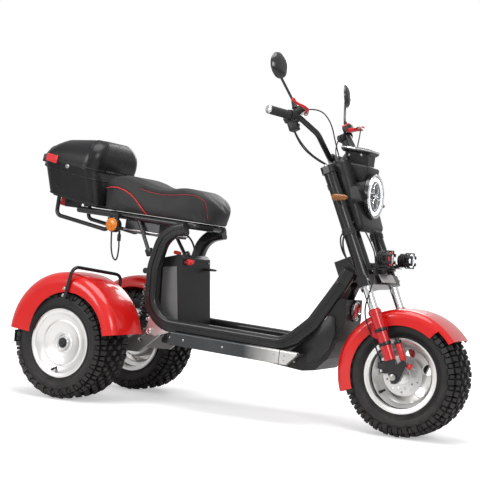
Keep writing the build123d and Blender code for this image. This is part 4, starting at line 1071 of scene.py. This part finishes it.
on_fork(nut, "left_axle_nut", bolt_zinc, "steel")
clear_choice()
bpy.ops.mesh.primitive_circle_add(vertices=3, radius=0.04, fill_type="NGON", rotation=(pi / 2, 0, 0))
gusset = bedded(bpy.context.object)
for point, place in zip(gusset.data.vertices, ((-0.035, 0.140, 0.205), (0.024, 0.140, 0.215),
                                               (0.030, 0.140, 0.135))):
    point.co = place
worked(gusset, "SOLIDIFY", thickness=0.004, offset=0)
on_fork(gusset, "left_guard_gusset", red_enamel, "red_paint", 20)
yoke_bolts = [screw(Vector((0.066, y, z)), (1, 0, 0), 0.006, 0.005)
              for y, z in ((0.120, 0.365), (0.170, 0.365))]
yoke_bolts += [screw(Vector((0.042, 0.145, 0.830)), (0, 0, 1), 0.015, 0.007),
               screw(Vector((0.062, 0.100, 0.824)), (0, 0, 1), 0.006, 0.005)]
on_fork(joined(*yoke_bolts), "left_yoke_bolts", bolt_zinc, "steel")
stem_nut = screw(Vector((0, 0, 0.832)), (0, 0, 1), 0.017, 0.010)
stem_nut.data.transform(FORK)
settle(stem_nut, "stem_nut", steel_bright, "steering", "steel")

# ---- Brake and front mudguard fixings -------------------------------------------------------
# A drilled stainless disc, ground in fine rings, and a black caliper with a bright bleed screw.
dress("brake_disc", lathe_turned("disc_ground", front_axle, (0.72, 0.71, 0.70), 0.4, 1400, 0.4))
dress("brake_caliper", finish_of("caliper_black", (0.03, 0.03, 0.032), roughness=0.35, grain=300, dust=0.2,
                                 metallic=0.4))
caliper_bolts = [screw(spot(1290 + x, -71.2, 252 + z), (0, -1, 0), 0.005, 0.004)
                 for x, z in ((-8, 14), (-8, -14), (9, 0))]
settle(joined(*caliper_bolts), "caliper_bolts", steel_bright, "steering", "steel")

# ---- Headlamp -------------------------------------------------------------------------------
# A gloss black bowl with a thick white light ring behind clear glass. Inside it are two lenses in
# chrome rings, one above the other, with a bright Z-shaped bar between them.
lamp_black = finish_of("lamp_black", (0.018, 0.018, 0.019), (0.06, 0.06, 0.06), 0.24, 300, 0.06, 0.15, 0.12,
                       coat=0.6)
dress("headlamp_shell", lamp_black)
lamp_middle = spot(1177, 0, 892)


def lamp_round(line, name, material, slot, lift=0.0):
    """A turned piece of the lamp from (radius, forward) millimetres, facing ahead."""
    points = [lamp_middle + Vector((x / 1000, 0, r / 1000 + lift)) for r, x in line]
    piece = spun(points, lamp_middle + Vector((0, 0, lift)), (1, 0, 0), 64)
    return settle(piece, name, material, "steering", slot)


smoked = finish_of("smoked_chrome", (0.10, 0.10, 0.11), (0.2, 0.2, 0.2), 0.2, 200, 0.05, 0.2, 0.2,
                   metallic=0.9)
lamp_round([(75.4, 0.2), (75.4, 3), (57, 3), (54, 0.8), (0, 0.8)], "lamp_bowl", smoked, "chrome")
ring_light = finish_of("ring_light", (0.9, 0.92, 0.95), (0.8, 0.84, 0.9), 0.3, 200, 0.05, 0.1, 0.1)
shader = ring_light.node_tree.nodes["Principled BSDF"]
shader.inputs["Emission Color"].default_value = (0.9, 0.95, 1, 1)
shader.inputs["Emission Strength"].default_value = 0.75
lamp_round([(58, 3.5), (58.5, 8), (62, 11), (69, 11.5), (73.5, 9), (75, 4)], "lamp_ring_light", ring_light,
           "clear_lens")
lamp_round([(77, 8), (77, 13), (80, 15), (84, 14), (86.5, 9), (86.6, 2)], "lamp_rim", chrome, "chrome")
dark_glass = finish_of("dark_glass", (0.02, 0.025, 0.035), (0.05, 0.05, 0.06), 0.06, 200, 0.02, 0.1, 0.05,
                       coat=1.0)
for name, up in (("upper", 0.0275), ("lower", -0.0275)):
    lamp_round([(25, 1), (25, 8), (23.5, 10), (21, 9), (20.5, 5)], f"lamp_{name}_ring", chrome, "chrome", up)
    lamp_round([(20.6, 4), (18, 8), (12, 11.4), (6, 13), (0, 13.4)], f"lamp_{name}_lens", dark_glass,
               "clear_lens", up)
bars = [block(lamp_middle + Vector((0.006, y, z)), (0.006, w, h), 0.0012) for y, z, w, h in
        ((0, 0, 0.052, 0.0055), (-0.040, 0.0095, 0.036, 0.005), (0.040, -0.0095, 0.036, 0.005))]
settle(joined(*bars), "lamp_divider", chrome, "steering", "chrome")
glass = clear_plastic("lamp_glass", (0.97, 0.98, 1.0), 1.0, 0.03)
glass.node_tree.nodes["Principled BSDF"].inputs["IOR"].default_value = 1.08
cover = lamp_round([(77, 12.6), (60, 15.4), (40, 17.2), (20, 18.2), (0, 18.5)], "lamp_cover_glass", glass,
                   "clear_lens")
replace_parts(cover, "headlamp_lens")

# ---- Dash -----------------------------------------------------------------------------------
# A faceted black cowl over the lamp. Its six-sided display has a bright rim and a dark glass face.
dress("dash", moulded_black)
TOP = Matrix.Translation(spot(1110, 0, 1056)) @ Matrix.Rotation(radians(8), 4, "Y")


def six_sided(length, width, corner, low, high):
    """A plate with its corners cut off, between two heights on the display's own plane."""
    clear_choice()
    bpy.ops.mesh.primitive_plane_add(size=1, location=(0, 0, low))
    plate = bpy.context.object
    plate.scale = (length, width, 1)
    bedded(plate)
    bpy.ops.object.mode_set(mode="EDIT")
    bpy.ops.mesh.select_all(action="SELECT")
    bpy.ops.mesh.bevel(affect="VERTICES", offset=corner, segments=1)
    bpy.ops.mesh.extrude_region_move(TRANSFORM_OT_translate={"value": (0, 0, high - low)})
    bpy.ops.mesh.select_all(action="SELECT")
    bpy.ops.mesh.normals_make_consistent(inside=False)
    bpy.ops.mesh.bevel(offset=0.0012, segments=2)
    bpy.ops.object.mode_set(mode="OBJECT")
    plate.data.transform(TOP)
    return plate


settle(six_sided(0.127, 0.139, 0.0247, 0.0125, 0.0185), "display_rim", chrome, "steering", "chrome", 25)
settle(six_sided(0.112, 0.124, 0.022, 0.0195, 0.0215), "display_glass", dark_glass, "steering", "clear_lens",
       25)
cowl_screws = [screw(spot(x, 57.5, 1046), (0, 1, -0.2), 0.005, 0.003) for x in (1140, 1090)]
pair(joined(*cowl_screws), "left_cowl_screws", bolt_zinc, "steering", "steel")

# ---- Handlebar controls ---------------------------------------------------------------------
# Ribbed rubber grips with polished bar ends. A moulded switch pod, a bright lever perch and a
# gloss red lever with a ball end stand inside each; the pod's lower box carries the thumb switch.
inner, outer = Vector((0.030, 0.238, 1.015)), Vector((-0.028, 0.372, 1.053))
BAR = Matrix.Translation(inner) @ (outer - inner).to_track_quat("Z", "X").to_matrix().to_4x4()


def on_axis(line, place, steps):
    """A turned piece from (radius, along) millimetres, its axis stood at a place."""
    piece = spun([Vector((r / 1000, 0, z / 1000)) for r, z in line], (0, 0, 0), (0, 0, 1), steps)
    piece.data.transform(place)
    return piece


grip_line = [(11.5, 56), (19, 56), (19.3, 60), (16.4, 61)]
for rib in range(14):
    grip_line += [(16.4, 63 + rib * 5.6), (15.6, 64.6 + rib * 5.6), (15.6, 65.8 + rib * 5.6),
                  (16.4, 67 + rib * 5.6)]
grip_line += [(16.4, 144), (15, 146), (11.5, 146)]
grip = on_axis(grip_line, BAR, 36)
grip_rubber = finish_of("grip_rubber", (0.022, 0.022, 0.023), roughness=0.6, grain=700, relief=0.3)
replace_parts(on_fork(grip, "left_grip", grip_rubber, "rubber"), "grips")
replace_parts(grip, "grips")
end_line = [(0, 145.5), (15.4, 145.5), (16.4, 147), (16.4, 151), (14, 155), (8, 157.5), (0, 158)]
on_fork(on_axis(end_line, BAR, 36), "left_bar_end", steel_bright, "steel")


pod_line = [(11.5, 16), (19, 16), (21.5, 18), (21.5, 32), (20.4, 32.6), (20.4, 33.8), (21.5, 34.4),
            (21.5, 49), (19, 51), (11.5, 51)]
pod = on_axis(pod_line, BAR, 32)
low_box = block(Vector((0.006, 0.268, 0.990)), (0.034, 0.038, 0.044), 0.006)
rear_box = block(Vector((-0.006, 0.262, 1.022)), (0.030, 0.036, 0.030), 0.005)
reservoir = block(Vector((0.040, 0.240, 1.042)), (0.038, 0.046, 0.026), 0.005)
pods = joined(pod, low_box, rear_box, reservoir)
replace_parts(on_fork(pods, "left_switch_pod", moulded_black, "black_plastic", 28), "hand_controls")
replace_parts(pods, "hand_controls")
switches = [block(Vector((0.026, 0.268 + y, 0.994 + z)), (0.010, 0.010, 0.008), 0.002)
            for y, z in ((-0.009, 0.008), (0.009, 0.008), (0, -0.01))]
switches.append(block(Vector((-0.022, 0.262, 1.026)), (0.008, 0.014, 0.010), 0.002))
on_fork(joined(*switches), "left_switches", cap_rubber, "rubber")
perch = joined(fork_ring(5.5, 1020, 1044, 54, 0.001, 24, 0.232),
               block(Vector((0.044, 0.234, 1.032)), (0.030, 0.024, 0.010), 0.003),
               screw(Vector((0.054, 0.232, 1.044)), (0, 0, 1), 0.0065, 0.004))
on_fork(perch, "left_lever_perch", steel_bright, "steel")


def lever_blade(name, route, widths):
    """A forged lever: a swept bar, thick at its pivot, thin along its blade, with a ball end."""
    blade = drawn_line(name, route, 0.001, 4, 4, 12)
    for point, width in zip(blade.data.splines[0].points, widths):
        point.radius = width
    choose(blade)
    bpy.ops.object.convert(target="MESH")
    return bpy.context.object


lever_way = [(0.046, 0.212, 1.030), (0.058, 0.232, 1.030), (0.074, 0.252, 1.029), (0.080, 0.282, 1.030),
             (0.075, 0.312, 1.035), (0.066, 0.338, 1.046), (0.068, 0.348, 1.054)]
blade = lever_blade("blade", [Vector(place) for place in lever_way], (9, 10, 8, 6, 5.2, 5.4, 7))
bpy.ops.mesh.primitive_uv_sphere_add(segments=20, ring_count=12, radius=0.0072,
                                     location=(0.068, 0.349, 1.0550))
blade = joined(blade, bpy.context.object)
on_fork(blade, "left_brake_lever", red_enamel, "red_metal", 50)
cap_red = block(Vector((0.040, 0.240, 1.0575)), (0.034, 0.040, 0.007), 0.002)
cap_red.data.transform(FORK)
settle(cap_red, "reservoir_cap", red_enamel, "steering", "red_metal")

# ---- Mirrors --------------------------------------------------------------------------------
# Round heads in gloss black with silvered glass facing back, on bent stems that rise from a
# rubber boot and a lock nut.
dress("mirrors", lamp_black)
boot_line = [(5.2, 31), (6, 31), (7.2, 27), (9.5, 10), (12, 2), (12.5, 0.4), (5.2, 0.4)]
boot = spun([Vector((0.030 + r / 1000, 0.258, 1.053 + z / 1000)) for r, z in boot_line],
            (0.030, 0.258, 1.053), (0, 0, 1), 28)
on_fork(boot, "left_mirror_boot", cap_rubber, "rubber")
HEAD = Matrix.Translation((0.050, 0.330, 1.2053)) @ Matrix.Rotation(radians(-73), 4, "Y")
HEAD = HEAD @ Matrix.Rotation(radians(12), 4, "X")
silver = on_axis([(0, 4.8), (30, 4.6), (45, 4.2), (46.2, 3.6), (46.2, 3)], HEAD, 48)
mirror_glass = finish_of("mirror_glass", (0.9, 0.91, 0.92), (0.8, 0.8, 0.8), 0.03, 100, 0.0, 0.1, 0.02,
                         metallic=1.0)
on_fork(silver, "left_mirror_glass", mirror_glass, "chrome")

# ---- Front signals and spot lamps -----------------------------------------------------------
# Smoked amber signals point ahead from the lamp's straps. Two finned spot lamps stand on the
# bracket: chrome cups and glass under a claw guard, one ringed in red and one in white.
dress("front_signals", clear_plastic("smoked_amber", (0.30, 0.10, 0.012), 0.15, 0.2))
dress("spot_lamps", moulded_black)
SPOT = FORK @ Matrix.Translation((0.130, 0.118, 0.4253)) @ Matrix.Rotation(radians(113), 4, "Y")


def spot_round(line, name, material, slot, steps=40):
    """A turned piece of the left spot lamp from (radius, forward) millimetres."""
    return settle(on_axis(line, SPOT, steps), name, material, "steering", slot)


cup = spot_round([(20.5, 27), (20, 30), (17, 27), (9, 22), (4, 21)], "left_spot_cup", chrome, "chrome")
twin_of(cup, "right_spot_cup", "steering")
eye = spot_round([(9, 22.5), (8, 27), (5, 30), (0, 31.5)], "left_spot_eye", dark_glass, "clear_lens")
twin_of(eye, "right_spot_eye", "steering")
halo_line = [(20.5, 27.5), (21.5, 30.5), (24, 31.2), (26, 29.5), (26.5, 26.5)]
halo = spot_round(halo_line, "left_spot_halo", ring_light, "clear_lens")
halo_red = finish_of("halo_red", (0.8, 0.03, 0.04), (0.9, 0.2, 0.2), 0.25, 200, 0.05, 0.1, 0.1, coat=0.5)
red_halo = twin_of(halo, "right_spot_halo", "steering")
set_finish(red_halo, "red_lens")
red_halo.data.materials.clear()
red_halo.data.materials.append(halo_red)
claw = block(Vector((0.0285, 0, 0.020)), (0.004, 0.012, 0.034), 0.0012)
tooth = block(Vector((0.0245, 0, 0.0365)), (0.012, 0.009, 0.0035), 0.001)
claws = ring_of(joined(claw, tooth), 6, (0, 0, 0), "Z")
claws.data.transform(SPOT)
pair(claws, "left_spot_guard", moulded_black, "steering", "black_plastic")

# ---- Fork cover and cowl --------------------------------------------------------------------
# A moulded black cover fills the space between the fork tubes behind the headlamp, and a turned
# bowl carries the lamp's rim back to it. A faceted cowl joins both to the display. Rubber rings
# close the tubes, and a bright plate is fixed across the lower yoke.
fork_cover = block((0, 0, 0), (0.058, 0.252, 0.285), 0.020)
for point in fork_cover.data.vertices:
    down = min(1, max(0, (0.02 - point.co.z) / 0.16))
    point.co.x -= 0.016 * down * (point.co.x > 0)
    point.co.y *= 1 - 0.05 * down
fork_cover.data.transform(FORK @ Matrix.Translation((0.078, 0, 0.700)))
settle(fork_cover, "fork_cover", moulded_black, "steering", "black_plastic", 35)
bowl_line = [(84, -3), (83, -30), (78, -58), (64, -84), (40, -98)]
bowl = spun([lamp_middle + Vector((x / 1000, 0, r / 1000)) for r, x in bowl_line], lamp_middle, (1, 0, 0), 56)
settle(bowl, "lamp_bowl_back", moulded_black, "steering", "black_plastic", 40)
cowl = block(spot(1112, 0, 985), (0.104, 0.124, 0.062), 0.012, 10, 1.12)
wing = block(spot(1128, 0, 962), (0.088, 0.170, 0.030), 0.010, 16, 0.8)
settle(joined(cowl, wing), "lamp_cowl", moulded_black, "steering", "black_plastic", 30)
on_fork(joined(fork_ring(26, 546, 556), fork_ring(27, 556, 562), fork_ring(26, 562, 572)), "left_shroud_ring",
        cap_rubber, "rubber")
plate = block((0, 0, 0), (0.003, 0.150, 0.034), 0.001)
plate.data.transform(FORK @ Matrix.Translation((0.0785, 0, 0.366)) @ Matrix.Rotation(radians(-8), 4, "Y"))
settle(plate, "yoke_plate", alloy_satin, "steering", "steel")

# ---- Cover flanks ---------------------------------------------------------------------------
# A black plastic flank closes each side between the beam and the lower cover.
clear_choice()
bpy.ops.mesh.primitive_circle_add(vertices=10, radius=0.1, fill_type="NGON")
flank = bedded(bpy.context.object)
outline = ((905, 262), (961, 310), (1026, 372), (1075, 428), (1098, 424), (1104, 360), (1085, 300),
           (1050, 255), (1000, 240), (930, 242))
for point, (x, z) in zip(flank.data.vertices, outline):
    point.co = spot(x, 110, z)
worked(flank, "SOLIDIFY", thickness=0.006, offset=0)
bpy.ops.object.mode_set(mode="EDIT")
bpy.ops.mesh.select_all(action="SELECT")
bpy.ops.mesh.normals_make_consistent(inside=False)
bpy.ops.mesh.bevel(offset=0.0015, segments=2)
bpy.ops.object.mode_set(mode="OBJECT")
pair(flank, "left_cover_flank", moulded_black, "frame", "black_plastic")

# ---- Strut lugs -----------------------------------------------------------------------------
# A folded steel lug welds each seat strut's foot to the rear edge of the beam's hoop.
strut_lug = block(spot(274, 150, 622), (0.030, 0.020, 0.030), 0.004, -24)
pair(strut_lug, "left_strut_lug", frame_black, "frame", "frame_paint")

# ---- Cables ---------------------------------------------------------------------------------
# Black sheathed cables: from each control over the bar and into the fork cover, the brake hose
# down the right leg, the loom behind the tube, and the spare lead that hangs under the rack.
cable_black = finish_of("cable_black", (0.013, 0.013, 0.014), roughness=0.4, grain=900, relief=0.1)


def cable(name, route, across, body="steering"):
    """A free cable along a route's control points: a smooth line, thickened, and declared."""
    places = [FORK @ (Vector(place) / 1000) if body == "steering" else spot(*place) for place in route]
    cord = drawn_line(name, places, across / 2)
    cord.data.materials.append(cable_black)
    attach(cord, body)
    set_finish(cord, "rubber")
    return cord


for side, word in ((1, "left"), (-1, "right")):
    cable(f"{word}_switch_cable", [(0, 262 * side, 975), (-12, 222 * side, 925), (6, 150 * side, 868),
                                   (34, 96 * side, 832), (56, 84 * side, 800)], 0.006)
    cable(f"{word}_lever_cable", [(58, 250 * side, 1034), (104, 214 * side, 1030), (112, 150 * side, 980),
                                  (84, 104 * side, 900), (76, 92 * side, 820)], 0.005)
    cable(f"{word}_throttle_cable", [(-4, 244 * side, 1030), (-26, 200 * side, 985), (-16, 140 * side, 905),
                                     (22, 110 * side, 850), (58, 98 * side, 800)], 0.005)
cable("loom_one", [(66, -112, 600), (30, -172, 560), (8, -178, 500), (14, -168, 430), (40, -150, 402)], 0.007)
cable("loom_two", [(62, -104, 590), (18, -160, 570), (2, -172, 520), (6, -166, 460), (30, -148, 400)], 0.006)
cable("brake_hose", [(84, -100, 570), (96, -96, 500), (98, -108, 430), (70, -176, 330), (10, -172, 262),
                     (0, -146, 180), (-6, -118, 120), (-14, -92, 84), (-16, -78, 66)], 0.0055)
cable("left_spot_lead", [(112, 118, 404), (96, 96, 420), (84, 60, 450), (86, 30, 520), (84, 20, 560)], 0.0045)
cable("right_spot_lead", [(112, -118, 404), (94, -92, 424), (86, -54, 460), (90, -26, 520), (88, -18, 560)],
      0.0045)
connector = joined(block(spot(56, -60, 676), (0.014, 0.012, 0.030), 0.003),
                   block(spot(56, -60, 698), (0.008, 0.008, 0.018), 0.002))
settle(connector, "rack_lead_plug", cap_rubber, "frame", "rubber")
cable("rack_lead", [(15, -60, 778), (14, -60, 660), (26, -60, 592), (52, -60, 572), (60, -60, 640),
                    (56, -60, 664)], 0.007,
      "frame")
